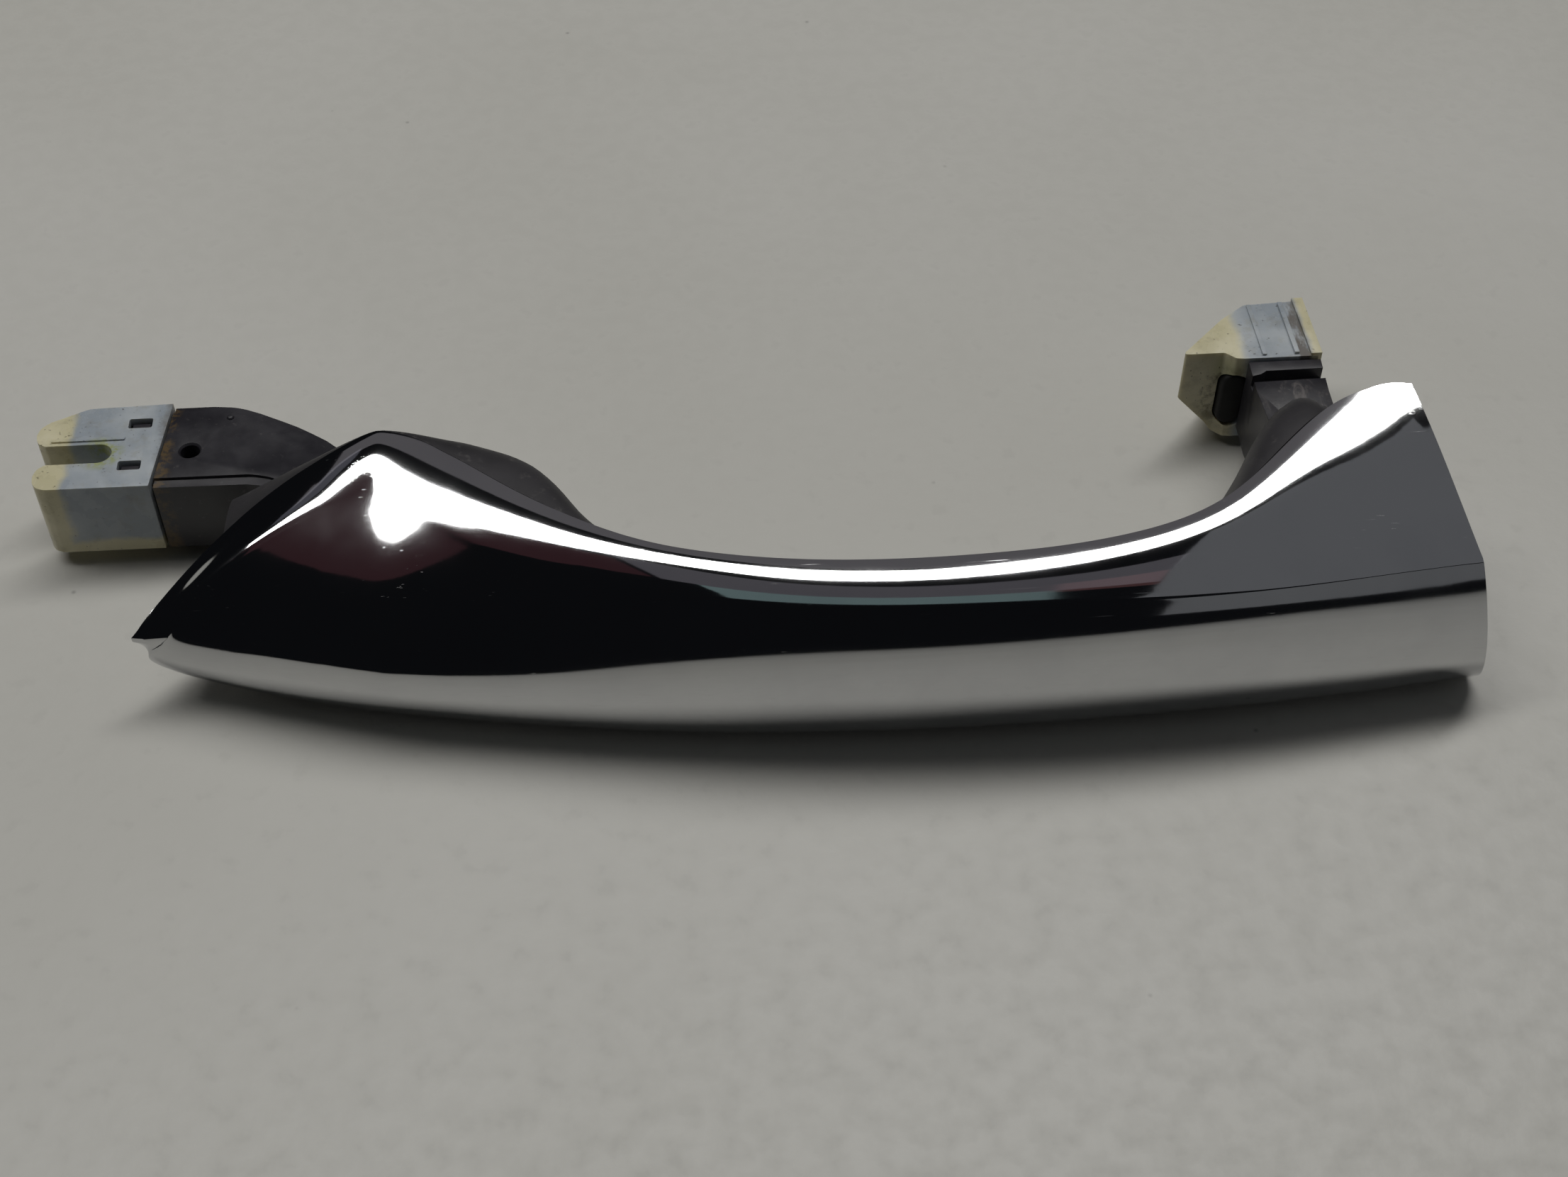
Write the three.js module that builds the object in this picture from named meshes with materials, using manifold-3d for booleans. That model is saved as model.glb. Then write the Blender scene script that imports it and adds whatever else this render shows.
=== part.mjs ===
// Outside grip of a car door handle, lying on its long lower edge.
// Frame: +X runs along the grip from the pivot end to the hook end, +Y points from the outer
// face towards the door, +Z is up, millimetres, floor at Z = 0.
import * as THREE from 'three'
import Module from 'manifold-3d'
import { mergeVertices } from 'three/addons/utils/BufferGeometryUtils.js'

const wasm = await Module()
wasm.setup()

// ---------------------------------------------------------------- driving dimensions
const NECK_Z0 = 4.6 // underside of the pivot arm where it passes into the foot
const GAP = 0.3 // clearance between neighbouring pieces
const SHELL_WALL = 2.3 // chromed skin
const COVER_WALL = 2.2 // black finger-side cover
const DOOR_PLANE_Y = 33 // rear faces of both feet
const MID_Z = 15.6 // half height of the grip
const ARM_Z0 = 2.9, ARM_Z1 = 17 // pivot arm, bottom and top face
const HOOK_Z0 = 5.0, HOOK_Z1 = 19.6 // hook arm, bottom and top face
const SLEEVE_Z0 = 3.0, SLEEVE_Z1 = 17.3 // pivot sleeve
const BLOCK_Z0 = 2.5, BLOCK_Z1 = 20.2 // hook sleeve
const SLOT_Y = 47.25, SLOT_R = 2.25, SLOT_END_X = -5.5 // fork slot of the pivot sleeve
const HOLE_X = 9.4, HOLE_Y = 47.3, HOLE_R = 1.6, HOLE_DEPTH = 11 // blind hole in the pivot arm
const SCREW_R = 1.25, SCREW_HEAD_R = 2.6, SCREW_HEAD_H = 1.8 // all self-tapping screws
const BUMPER = { x: 185.4, z: 10.6, w: 4.6, h: 11, d: 3.6 } // oval plug in the hook block
const X_FLARE = 170 // from here the cut-off end leans out
const X_END = 208 // nominal station of the cut-off end

// Rails of the chromed skin, [x, y, z]: the rim against the black cover, and the crease
// between the narrow shoulder band and the outer face.
const RIM_TOP = [[4.2, 8.6, 13.5], [5.5, 9.7, 14.5], [6.7, 10.9, 15.6], [10.6, 14.9, 18.0], [15.1, 19.0, 20.8], [19.6, 22.1, 23.6], [25.4, 25.3, 26.8], [31.2, 27.8, 29.5], [36.8, 29.9, 31.6], [40.5, 31.1, 32.8], [43.3, 31.7, 33.4], [48.1, 30.3, 33.4], [52.8, 27.9, 33.2], [57.4, 23.7, 32.9], [61.7, 19.5, 32.6], [68.2, 15.0, 32.2], [74.5, 11.0, 32.0], [82.8, 6.4, 31.8], [93.2, 3.5, 31.6], [103.5, 1.7, 31.4], [113.9, 0.7, 31.4], [124.3, 0.4, 31.4], [134.8, 0.5, 31.6], [145.4, 1.0, 31.8], [151.8, 1.8, 32.0], [156.2, 2.5, 32.2], [160.6, 3.5, 32.4], [165.0, 4.7, 32.7], [169.7, 6.7, 33.1], [174.3, 9.7, 33.6], [180.1, 15.5, 34.6], [185.7, 21.1, 35.3], [190.4, 25.3, 35.8], [193.7, 27.2, 36.1], [199.6, 28.4, 36.6], [203.9, 27.6, 36.8]]
const CREASE_TOP = [[10.3, 7.5, 13.5], [12.1, 8.8, 16.5], [14.3, 10.6, 19.0], [18.5, 13.3, 22.2], [22.3, 15.1, 24.3], [26.1, 16.8, 26.0], [30.5, 18.5, 27.5], [35.2, 20.2, 28.8], [39.3, 21.3, 29.6], [42.9, 21.6, 30.2], [46.7, 18.9, 30.0], [50.1, 16.1, 29.8], [55.5, 12.4, 29.5], [61.7, 8.5, 29.3], [70.0, 4.2, 29.1], [79.2, 0.3, 29.0], [88.4, -2.7, 28.9], [97.5, -4.9, 28.8], [106.7, -6.4, 28.8], [115.8, -7.4, 28.8], [125.2, -7.9, 28.8], [137.4, -8.2, 28.8], [149.6, -8.1, 28.7], [162.0, -7.7, 28.5], [174.6, -6.7, 28.2], [187.5, -4.9, 27.9], [200.8, -3.0, 27.6], [208.7, -2.2, 27.4]]
// The lower crease is given by station first: [station, x, y, z].
const CREASE_LOW = [[0, 10.3, 7.5, 13.5], [1, 7.6, 8.0, 12.0], [2.2, 6.4, 8.1, 10.2], [4, 6.6, 8.2, 8.5], [6.5, 8.6, 8.0, 6.9], [9.5, 11.6, 7.6, 5.6], [13.5, 15.8, 6.9, 4.3], [19, 21.3, 5.9, 3.2], [26, 28.2, 4.3, 2.4], [34.3, 35.4, 2.7, 2.0], [43, 43, 1.1, 1.8], [59.2, 59.2, -1.9, 1.8], [75, 75, -4.3, 1.8], [92, 92, -6.3, 1.8], [108, 108, -7.3, 1.8], [124.8, 124.8, -7.9, 1.8], [141, 141, -7.9, 1.8], [158, 158, -7.5, 1.9], [175, 176, -6.7, 2.0], [191.9, 195, -5.4, 2.2], [208, 213.2, -3.5, 2.4]]
const RIM_LOW_Z = [[0, 13.5], [2, 10.6], [5, 8.2], [11, 5.2], [17, 3.0], [24, 1.3], [31, 0.4], [38, 0], [208, 0]]
// Angle of the surface normal from vertical, towards the outer face, in degrees, by station.
const ANGLE_RIM = [[0, 0], [15, 0], [30, 0], [43, 0], [62, 2], [90, 4], [135, 4], [170, 3], [208, 3]]
const ANGLE_SHOULDER = [[0, 40], [12, 32], [24, 26], [43, 24], [62, 28], [80, 34], [105, 38], [140, 38], [165, 32], [185, 22], [208, 19]]
const ANGLE_FACE = [[0, 55], [12, 38], [24, 26], [43, 25], [62, 32], [80, 42], [105, 50], [140, 54], [165, 57], [185, 58], [208, 60]]
const FACE_LEAN = [[0, 0], [12, 0.2], [24, 0.7], [43, 1], [60, 0.9], [80, 0.5], [100, 0.15], [120, 0], [208, 0]]
// Rear surface of the black cover by station.
const COVER_BACK = [[14, 26], [18, 30.8], [22, 33.2], [26, 33.8], [55, 33.8], [60, 32.8], [64, 31.3], [67.5, 28.6], [71, 24.2], [75, 18.4], [79, 14.2], [84, 11.4], [93, 8.9], [104, 7.8], [114, 7.4], [124, 7.4], [135, 7.8], [146, 8.8], [157, 10.4], [165, 12.2], [170, 14.6], [175, 19.8], [180, 26.6], [184, 31.2], [188, 33.8], [192, 36], [196, 38], [208, 38]]
// How square the upper edge of the cover is: 1 at the feet, low along the grip.
const COVER_FULL = [[14, 0.8], [40, 0.95], [58, 1], [70, 0.95], [75, 0.6], [80, 0.2], [90, 0.05], [110, 0], [140, 0], [160, 0], [170, 0.1], [175, 0.5], [180, 0.9], [188, 1], [191.5, 0.7], [194, 0.15], [208, 0.1]]
const SHELL_SCREW_X = [78, 116, 156]

// ---------------------------------------------------------------- curve helpers
// Smooth curve through a table, read at a given first coordinate.
function smooth(table) {
  const n = table.length
  const dim = table[0].length
  const slope = []
  for (let i = 0; i < n; i++) {
    const row = []
    for (let k = 1; k < dim; k++) {
      const a = table[Math.max(0, i - 1)], b = table[Math.min(n - 1, i + 1)]
      row.push((b[k] - a[k]) / (b[0] - a[0]))
    }
    slope.push(row)
  }
  return (x) => {
    let i = 0
    while (i < n - 2 && x > table[i + 1][0]) i++
    const a = table[i], b = table[i + 1]
    const h = b[0] - a[0]
    const t = Math.min(1, Math.max(0, (x - a[0]) / h))
    const t2 = t * t, t3 = t2 * t
    const out = []
    for (let k = 1; k < dim; k++)
      out.push((2 * t3 - 3 * t2 + 1) * a[k] + (t3 - 2 * t2 + t) * h * slope[i][k - 1] + (-2 * t3 + 3 * t2) * b[k] + (t3 - t2) * h * slope[i + 1][k - 1])
    return out
  }
}
const rimTopAt = smooth(RIM_TOP), creaseTopAt = smooth(CREASE_TOP), creaseLowAt = smooth(CREASE_LOW)
const rimLowZAt = smooth(RIM_LOW_Z), angleRimAt = smooth(ANGLE_RIM), angleShoulderAt = smooth(ANGLE_SHOULDER), angleFaceAt = smooth(ANGLE_FACE)
const coverBackAt = smooth(COVER_BACK), coverFullAt = smooth(COVER_FULL), faceLeanAt = smooth(FACE_LEAN)

// Station u maps to a slightly different x on every rail, because the nose is pointed and the
// cut-off end leans.
function stationX(u, first, last) {
  if (u < 43) return first + (43 - first) * (u / 43)
  if (u > X_FLARE) return X_FLARE + (u - X_FLARE) * (last - X_FLARE) / (X_END - X_FLARE)
  return u
}
const rail = (at, u, first, last) => { const x = stationX(u, first, last); const [y, z] = at(x); return new THREE.Vector3(x, y, z) }
const rimTop = (u) => rail(rimTopAt, u, 4.2, 203.9)
const creaseTop = (u) => rail(creaseTopAt, u, 10.3, 208.7)
const creaseLow = (u) => new THREE.Vector3(...creaseLowAt(u))
const rimLow = (u) => { const p = rimTop(u); return new THREE.Vector3(stationX(u, 4.2, 211.2), p.y, Math.max(0, rimLowZAt(u)[0])) }

// Curve in a section from a to b whose surface normals start at angle n0 and end at n1,
// measured in degrees from +Z towards -Y; lean moves the tightest bend towards a.
function arc(a, b, n0, n1, segments, lean = 0) {
  const rad = Math.PI / 180
  const chord = Math.hypot(b.y - a.y, b.z - a.z)
  const turn = Math.max(8, Math.abs(n1 - n0)) * rad
  const f = (4 / 3) * Math.tan(turn / 4) / (2 * Math.sin(turn / 2)) * chord
  const fa = f * (1 - 0.35 * lean), fb = f * (1 + 0.5 * lean)
  const c0 = [a.y - Math.cos(n0 * rad) * fa, a.z - Math.sin(n0 * rad) * fa]
  const c1 = [b.y + Math.cos(n1 * rad) * fb, b.z + Math.sin(n1 * rad) * fb]
  const pts = []
  for (let i = 0; i <= segments; i++) {
    const t = i / segments, s = 1 - t
    pts.push(new THREE.Vector3(a.x + (b.x - a.x) * t,
      s * s * s * a.y + 3 * s * s * t * c0[0] + 3 * s * t * t * c1[0] + t * t * t * b.y,
      s * s * s * a.z + 3 * s * s * t * c0[1] + 3 * s * t * t * c1[1] + t * t * t * b.z))
  }
  return pts
}

// Open outline of the chromed skin at a station: rim, shoulder band, crease, face, lower
// crease, underside, lower rim.
function skinOutline(u, nBand = 6, nFace = 14, nLow = 5) {
  const rt = rimTop(u), ct = creaseTop(u), cb = creaseLow(u), rb = rimLow(u)
  const nose = Math.max(0, Math.min(1, u / 16))
  const band = arc(rt, ct, angleRimAt(u)[0], angleShoulderAt(u)[0], nBand)
  const lean = faceLeanAt(u)[0]
  const face = arc(ct, cb, angleFaceAt(u)[0], 90 + 40 * nose + (1 - nose) * 30, nFace, lean)
  const chord = Math.hypot(rb.y - cb.y, rb.z - cb.z), run = Math.min(chord, 6)
  const low = Array.from({ length: nLow + 1 }, (_, i) => {
    const d = i === nLow ? chord : run * i / (nLow - 1), t = d / chord
    return new THREE.Vector3(cb.x + (rb.x - cb.x) * t, cb.y + (rb.y - cb.y) * t, rb.z + (cb.z - rb.z) * Math.max(0, 1 - d / run) ** 2)
  })
  return [...band, ...face.slice(1), ...low.slice(1)]
}

// Moves an open outline inwards (in the section plane) by d.
function inset(points, d) {
  return points.map((p, i) => {
    const a = points[Math.max(0, i - 1)], b = points[Math.min(points.length - 1, i + 1)]
    const ty = b.y - a.y, tz = b.z - a.z, l = Math.hypot(ty, tz)
    return new THREE.Vector3(p.x, p.y - (tz / l) * d, p.z + (ty / l) * d)
  })
}

// ---------------------------------------------------------------- solid helpers
function toSolid(geometry, matrix) {
  let g = geometry.index ? geometry.toNonIndexed() : geometry.clone()
  if (matrix) g.applyMatrix4(matrix)
  g.deleteAttribute('normal')
  g.deleteAttribute('uv')
  g = mergeVertices(g, 1e-4)
  const idx = g.index.array, keep = []
  for (let i = 0; i < idx.length; i += 3)
    if (idx[i] !== idx[i + 1] && idx[i + 1] !== idx[i + 2] && idx[i] !== idx[i + 2]) keep.push(idx[i], idx[i + 1], idx[i + 2])
  return new wasm.Manifold(new wasm.Mesh({ numProp: 3, vertProperties: g.attributes.position.array, triVerts: new Uint32Array(keep) }))
}
function toGeometry(solid) {
  const m = solid.getMesh()
  const g = new THREE.BufferGeometry()
  g.setAttribute('position', new THREE.BufferAttribute(new Float32Array(m.vertProperties), 3))
  g.setIndex(new THREE.BufferAttribute(new Uint32Array(m.triVerts), 1))
  g.computeVertexNormals()
  return g
}
// Closed solid through a row of rings that all have the same number of points.
function loft(rings) {
  const n = rings[0].length, pos = [], tri = []
  rings.forEach((r) => r.forEach((p) => pos.push(p.x, p.y, p.z)))
  for (let s = 0; s + 1 < rings.length; s++)
    for (let i = 0; i < n; i++) {
      const a = s * n + i, b = s * n + (i + 1) % n, c = a + n, d = b + n
      tri.push(a, b, c, b, d, c)
    }
  // each end is closed by a fan around its middle
  const cap = (s, flip) => {
    const r = rings[s], c = pos.length / 3
    const mid = r.reduce((m, p) => m.add(p), new THREE.Vector3()).divideScalar(n)
    pos.push(mid.x, mid.y, mid.z)
    for (let i = 0; i < n; i++) {
      const a = s * n + i, b = s * n + (i + 1) % n
      if (flip) tri.push(c, b, a); else tri.push(c, a, b)
    }
  }
  cap(0, true)
  cap(rings.length - 1, false)
  const g = new THREE.BufferGeometry()
  g.setAttribute('position', new THREE.BufferAttribute(new Float32Array(pos), 3))
  g.setIndex(tri)
  let solid = toSolid(g)
  if (solid.volume() < 0) {
    for (let i = 0; i < tri.length; i += 3) [tri[i + 1], tri[i + 2]] = [tri[i + 2], tri[i + 1]]
    g.setIndex(tri)
    solid = toSolid(g)
  }
  return solid
}
const box = (x0, x1, y0, y1, z0, z1) => toSolid(new THREE.BoxGeometry(x1 - x0, y1 - y0, z1 - z0), new THREE.Matrix4().makeTranslation((x0 + x1) / 2, (y0 + y1) / 2, (z0 + z1) / 2))
// Prism over a plan outline, from z0 to z1, with rounded long edges.
function plate(outline, z0, z1, round = 0, holes = []) {
  const s = new THREE.Shape(outline.map(([x, y]) => new THREE.Vector2(x, y)))
  for (const h of holes) s.holes.push(new THREE.Path(h.map(([x, y]) => new THREE.Vector2(x, y))))
  const g = new THREE.ExtrudeGeometry(s, { depth: z1 - z0 - 2 * round, bevelEnabled: round > 0, bevelThickness: round, bevelSize: round, bevelOffset: -round, bevelSegments: 2, curveSegments: 10 })
  return toSolid(g, new THREE.Matrix4().makeTranslation(0, 0, z0 + round))
}
// Solid of revolution about the Y direction through (x, z); profile is [radius, y].
function turnedY(profile, x, z, segments = 20) {
  const g = new THREE.LatheGeometry(profile.map(([r, y]) => new THREE.Vector2(r, y)), segments)
  const m = new THREE.Matrix4().makeTranslation(x, 0, z)
  let s = toSolid(g, m)
  if (s.volume() < 0) s = toSolid(new THREE.LatheGeometry(profile.slice().reverse().map(([r, y]) => new THREE.Vector2(r, y)), segments), m)
  return s
}
const rodY = (r, y0, y1, x, z, segments = 20) => turnedY([[0, y0], [r, y0], [r, y1], [0, y1]], x, z, segments)
function rodZ(r, z0, z1, x, y, segments = 20) {
  const g = new THREE.CylinderGeometry(r, r, z1 - z0, segments)
  return toSolid(g, new THREE.Matrix4().makeTranslation(x, y, (z0 + z1) / 2).multiply(new THREE.Matrix4().makeRotationX(Math.PI / 2)))
}
const arcPoints = (cx, cy, r, a0, a1, n) => Array.from({ length: n + 1 }, (_, i) => { const a = (a0 + (a1 - a0) * i / n) * Math.PI / 180; return [cx + r * Math.cos(a), cy + r * Math.sin(a)] })

// ---------------------------------------------------------------- chromed outer skin
const STATIONS = [0.8, 2, 4, 6.5, 9.5, 13, 17, 21, 25.5, 30, 34.5, 38.5, 41.5, 43, 44.5, 47, 50, 54, 58.5, 63.5, 69, 75, 81.5, 88.5, 96, 104, 112, 120, 128, 136, 144, 152, 160, 167, 173, 178.5, 183.5, 188.5, 193.5, 198.5, 203.5, 208]
const outerSolid = loft(STATIONS.map((u) => skinOutline(u)))
// Takes the folds out of an offset section: away from its frontmost point the depth only
// grows, and the height only rises towards one end and falls towards the other.
function unfold(p) {
  let k = 0
  p.forEach((q, i) => { if (q.y < p[k].y) k = i })
  for (let i = k - 1; i >= 0; i--) { p[i].y = Math.max(p[i].y, p[i + 1].y); p[i].z = Math.max(p[i].z, p[i + 1].z) }
  for (let i = k + 1; i < p.length; i++) { p[i].y = Math.max(p[i].y, p[i - 1].y); p[i].z = Math.min(p[i].z, p[i - 1].z) }
  return p
}
// Room inside the skin, open towards the door.
const hipExtra = (u) => 2.6 * Math.exp(-(((u - 43) / 6) ** 2)) + 1.4 * Math.exp(-(((u - 66) / 12) ** 2)) + 1.2 * Math.exp(-(((u - 24) / 10) ** 2)) + 0.8 * Math.exp(-(((u - 186) / 12) ** 2))
function cavityRing(u, d, back, keepBack) {
  const p = unfold(inset(skinOutline(u, 4, 9, 3), d + hipExtra(u) * 0.55))
  const first = p[0], last = p[p.length - 1]
  const y = keepBack !== undefined ? keepBack : Math.max(first.y, last.y) + back
  return [new THREE.Vector3(first.x, Math.max(y, first.y), first.z), ...p, new THREE.Vector3(last.x, Math.max(y, last.y), last.z)]
}
const INNER = [14, 18, 23, 28, 33, 38, 41.5, 43, 45, 49, 54, 59, 65, 72, 80, 89, 99, 110, 122, 134, 146, 157, 166, 173, 179, 185, 191, 197, 203]
const cavity = loft(INNER.map((u) => cavityRing(u, SHELL_WALL, 14)))
const frontInner = (x) => Math.min(...inset(skinOutline(x, 4, 9, 3), SHELL_WALL + hipExtra(x) * 0.55).map((p) => p.y))
const bossRoom = loft(STATIONS.map((u) => skinOutline(u).map((p) => p.clone().setY(p.y + 1))))
let shell = outerSolid.subtract(cavity)
for (const x of SHELL_SCREW_X) {
  const y = frontInner(x)
  shell = shell.add(rodY(3, y - 1.5, y + 5, x, MID_Z, 18).intersect(bossRoom).subtract(rodY(SCREW_R + GAP, y + 0.2, y + 6, x, MID_Z, 18)))
}

// ---------------------------------------------------------------- black finger-side cover
function coverOutline(u, d) {
  const rt = rimTop(u), rb = rimLow(u), yb = coverBackAt(stationX(u, 14, X_END - 2))[0]
  const full = coverFullAt(u)[0]
  const y0 = rt.y + 1.9 * GAP, zt = rt.z - 0.5 - 0.9 * (1 - full) - d, zb = rb.z + 0.5 + 0.9 * (1 - full) + d
  const back = Math.min(Math.max(yb, y0 + 1.2), DOOR_PLANE_Y + (d > 0 ? 0 : 5)) - d
  const pts = [], n = 7
  const quarter = (z0, z1, x0, x1) => {
    for (let i = 0; i <= n; i++) {
      const t = i / n, s = 1 - t
      const k = 0.2 + 0.76 * full, h = 0.3 + 0.42 * full, drop = 0.22 * (1 - full)
      const y = s * s * s * y0 + 3 * s * s * t * (y0 + k * (back - y0)) + 3 * s * t * t * back + t * t * t * back
      const z = s * s * s * z0 + 3 * s * s * t * (z0 - (0.02 + drop) * (z0 - z1)) + 3 * s * t * t * (z1 + h * (z0 - z1)) + t * t * t * z1
      pts.push(new THREE.Vector3(x0 + (x1 - x0) * t, y, z))
    }
  }
  const xm = (rt.x + rb.x) / 2
  quarter(zt, MID_Z, rt.x, xm)
  const up = pts.splice(0)
  quarter(zb, MID_Z, rb.x, xm)
  return [...up, ...pts.reverse().slice(1)]
}
const COVER_ST = [16, 19, 22.5, 26.5, 31, 36, 40.5, 43, 46, 50, 54, 58, 62, 66, 70, 74.5, 80, 87, 95, 104, 114, 124, 134, 144, 153, 161, 167, 172, 176.5, 181, 185.5, 190, 195, 200, 203.6]
const coverOut = loft(COVER_ST.map((u) => coverOutline(u, 0)))
const coverIn = loft([19.5, ...COVER_ST.slice(2, -1), 201.6].map((u) => {
  const o = coverOutline(u, COVER_WALL)
  const a = o[0], b = o[o.length - 1]
  return [new THREE.Vector3(a.x, a.y - 3, a.z), ...o, new THREE.Vector3(b.x, b.y - 3, b.z)]
}))
let cover = coverOut.subtract(coverIn).subtract(box(0, 215, DOOR_PLANE_Y, 45, -5, 45)) // both feet end in one flat plane
cover = cover.subtract(box(26.4, 45.2, 22, 40, NECK_Z0 - GAP, ARM_Z1 + GAP))
cover = cover.subtract(box(186.2, 198.9, 22, 40, HOOK_Z0 - GAP - 0.1, HOOK_Z1 + GAP))
const COVER_SCREWS = [[50.5, 17], [192.5, 25.3]]
for (const [x, z] of COVER_SCREWS) cover = cover.subtract(rodY(SCREW_R + GAP, 24, 40, x, z)).subtract(rodY(SCREW_HEAD_R + GAP, DOOR_PLANE_Y - 1.2, 40, x, z))

// ---------------------------------------------------------------- ribbed core
const BEAM_FRONT = SHELL_WALL + 1.4
function beamRing(u) {
  const full = unfold(inset(skinOutline(u, 4, 9, 3), BEAM_FRONT + hipExtra(u) * 1.1))
  const foot = 20 - 1.4 * Math.exp(-(((u - 42) / 9) ** 2))
  const y = Math.min(foot, rimTop(u).y - 0.8)
  // cut off at depth y: everything behind it gathers in the point where the section crosses
  const k = full.findIndex((q) => q.y <= y), m = full.length - 1 - full.slice().reverse().findIndex((q) => q.y <= y)
  const cross = (a, b) => a.clone().lerp(b, (y - a.y) / (b.y - a.y))
  const top = k > 0 ? cross(full[k], full[k - 1]) : full[0]
  const low = m < full.length - 1 ? cross(full[m], full[m + 1]) : full[m]
  return full.map((q, i) => (i < k ? top : i > m ? low : q).clone())
}
const BEAM_ST = [21, 25, 30, 35, 40, 43, 46, 51, 57, 63, 70, 78, 87, 97, 108, 120, 132, 144, 155, 165, 172, 179, 186, 193, 200]
let beam = loft(BEAM_ST.map(beamRing))
for (const x of SHELL_SCREW_X) {
  const y = frontInner(x)
  beam = beam.subtract(rodY(3.4, y - 4, y + 5.3, x, MID_Z, 18)).subtract(rodY(SCREW_R + GAP, y, 40, x, MID_Z, 18)).subtract(rodY(SCREW_HEAD_R + GAP, y + 8.3, 40, x, MID_Z, 18))
}
// lightening pockets between the ribs, open towards the door
for (const [x0, x1] of [[56, 70.5], [85.5, 97], [99, 109], [123, 135], [137, 149], [163.5, 177]]) {
  const y = Math.max(frontInner(x0), frontInner(x1)) + 3
  beam = beam.subtract(box(x0, x1, y, 40, 7.5, 23.5))
}

// ---------------------------------------------------------------- pivot arm
const armOutline = [[4.1, 39.3], [19.5, 39.1], [22, 38.6], [24, 37.4], [25.8, 35.6], [26.8, 33.4], [44.8, 33.4], [43.6, 35.6], [41, 38.8], [38, 41.8], [34, 46.2], [31.6, 48.6], [29, 50.6], [26.5, 52.4], [24, 53.9], [20, 56.2], [17.5, 57.4], [15.5, 58.1], [12, 58.5], [5.7, 58.5]]
let pivotArm = plate(armOutline, ARM_Z0, ARM_Z1, 0.7)
pivotArm = pivotArm.add(box(26.8, 44.8, 24, 34.4, NECK_Z0, ARM_Z1)) // neck into the foot
pivotArm = pivotArm.add(box(29.5, 47, 21, 24.8, 5.2, 24.6)) // flange on the core
// two tongues that run into the sleeve
const tongue = plate([[6.5, 41.1], [-9.4, 41.1], [-9.4, 43.2], [-4.2, 43.2], [-1.2, 44.9], [-0.4, 47.3], [-1.2, 49.6], [-4.2, 51.4], [-9.4, 51.4], [-9.4, 54.2], [-5.5, 55.9], [6.5, 55.9]], 3.9, 15.4)
pivotArm = pivotArm.add(tongue)
pivotArm = pivotArm.subtract(rodZ(HOLE_R, ARM_Z1 - HOLE_DEPTH, 30, HOLE_X, HOLE_Y, 24))
// lugs that snap into the windows of the sleeve
const LUGS = [[-1.4, 2.5, 53.1, 55.4], [-1.9, 1.9, 43.0, 45.2]]
for (const [x0, x1, y0, y1] of LUGS) pivotArm = pivotArm.add(box(x0 + 0.5, x1 - 0.5, y0 + 0.4, y1 - 0.7, 12, 16.2))
const PIVOT_SCREWS = [[33.5, 21], [42.5, 21]]
for (const [x, z] of PIVOT_SCREWS) { pivotArm = pivotArm.subtract(rodY(SCREW_R + GAP, 15, 26, x, z)); beam = beam.subtract(rodY(SCREW_R + GAP, 11.5, 24, x, z)) }

// ---------------------------------------------------------------- pivot sleeve
const sleeveOutline = [[3.75, 39.0], [-12.9, 39.1], [-14.3, 39.6], [-15.1, 40.8], [-15.3, 42.4], [-14.9, 44.0], [-13.8, 45.0],
  ...arcPoints(SLOT_END_X, SLOT_Y, SLOT_R, 270, 450, 10), [-14.4, 49.5], [-15.8, 50.4], [-16.2, 52.2], [-15.8, 54.0], [-14.4, 55.4], [-8.4, 58.4], [5.35, 58.8]]
let pivotSleeve = plate(sleeveOutline, SLEEVE_Z0, SLEEVE_Z1, 0.6)
const tongueRoom = plate([[7, 40.7], [-9.8, 40.7], [-9.8, 43.6], [-4.3, 43.6], [-1.6, 45.1], [-0.9, 47.3], [-1.6, 49.4], [-4.3, 51.0], [-9.8, 51.0], [-9.8, 54.4], [-5.7, 56.3], [7, 56.3]], 3.5, 15.8)
pivotSleeve = pivotSleeve.subtract(tongueRoom)
for (const [x0, x1, y0, y1] of LUGS) pivotSleeve = pivotSleeve.subtract(box(x0, x1, y0, y1, 12, 20))
// stiffening ribs on the rear fork arm
pivotSleeve = pivotSleeve.add(box(-13.5, -1.5, 50.2, 50.9, SLEEVE_Z1 - 0.6, SLEEVE_Z1 + 0.3))

// ---------------------------------------------------------------- hook arm
const hookOutline = [[187.0, 22], [198.4, 22], [198.4, 34], [198.7, 46], [199.3, 54.1], [186.9, 54.1], [186.6, 47], [187.0, 37]]
let hookArm = plate(hookOutline, HOOK_Z0, HOOK_Z1, 0.5)
hookArm = hookArm.add(box(188.8, 197.2, 50, 66.6, 4.6, 17.4)) // core of the hook
hookArm = hookArm.add(box(185, 200.4, 21, 24.6, 7.5, 22.6)) // flange on the core
hookArm = hookArm.subtract(plate([[186.9, 48.9], [201, 49.3], [201, 51.8], [189.4, 51.7]], 17.4, 24)) // cross groove
hookArm = hookArm.subtract(plate([[189.2, 41.4], [193.8, 41.4], [190.4, 38.9]], 18.1, 24)) // triangular recess
const HOOK_SCREWS = [[188.6, 22.9], [196.6, 22.9]]
for (const [x, z] of HOOK_SCREWS) { hookArm = hookArm.subtract(rodY(SCREW_R + GAP, 15, 26, x, z)); beam = beam.subtract(rodY(SCREW_R + GAP, 11.5, 24, x, z)) }
for (const [x, z] of COVER_SCREWS) beam = beam.subtract(rodY(SCREW_R + GAP, 10, 40, x, z))

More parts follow.
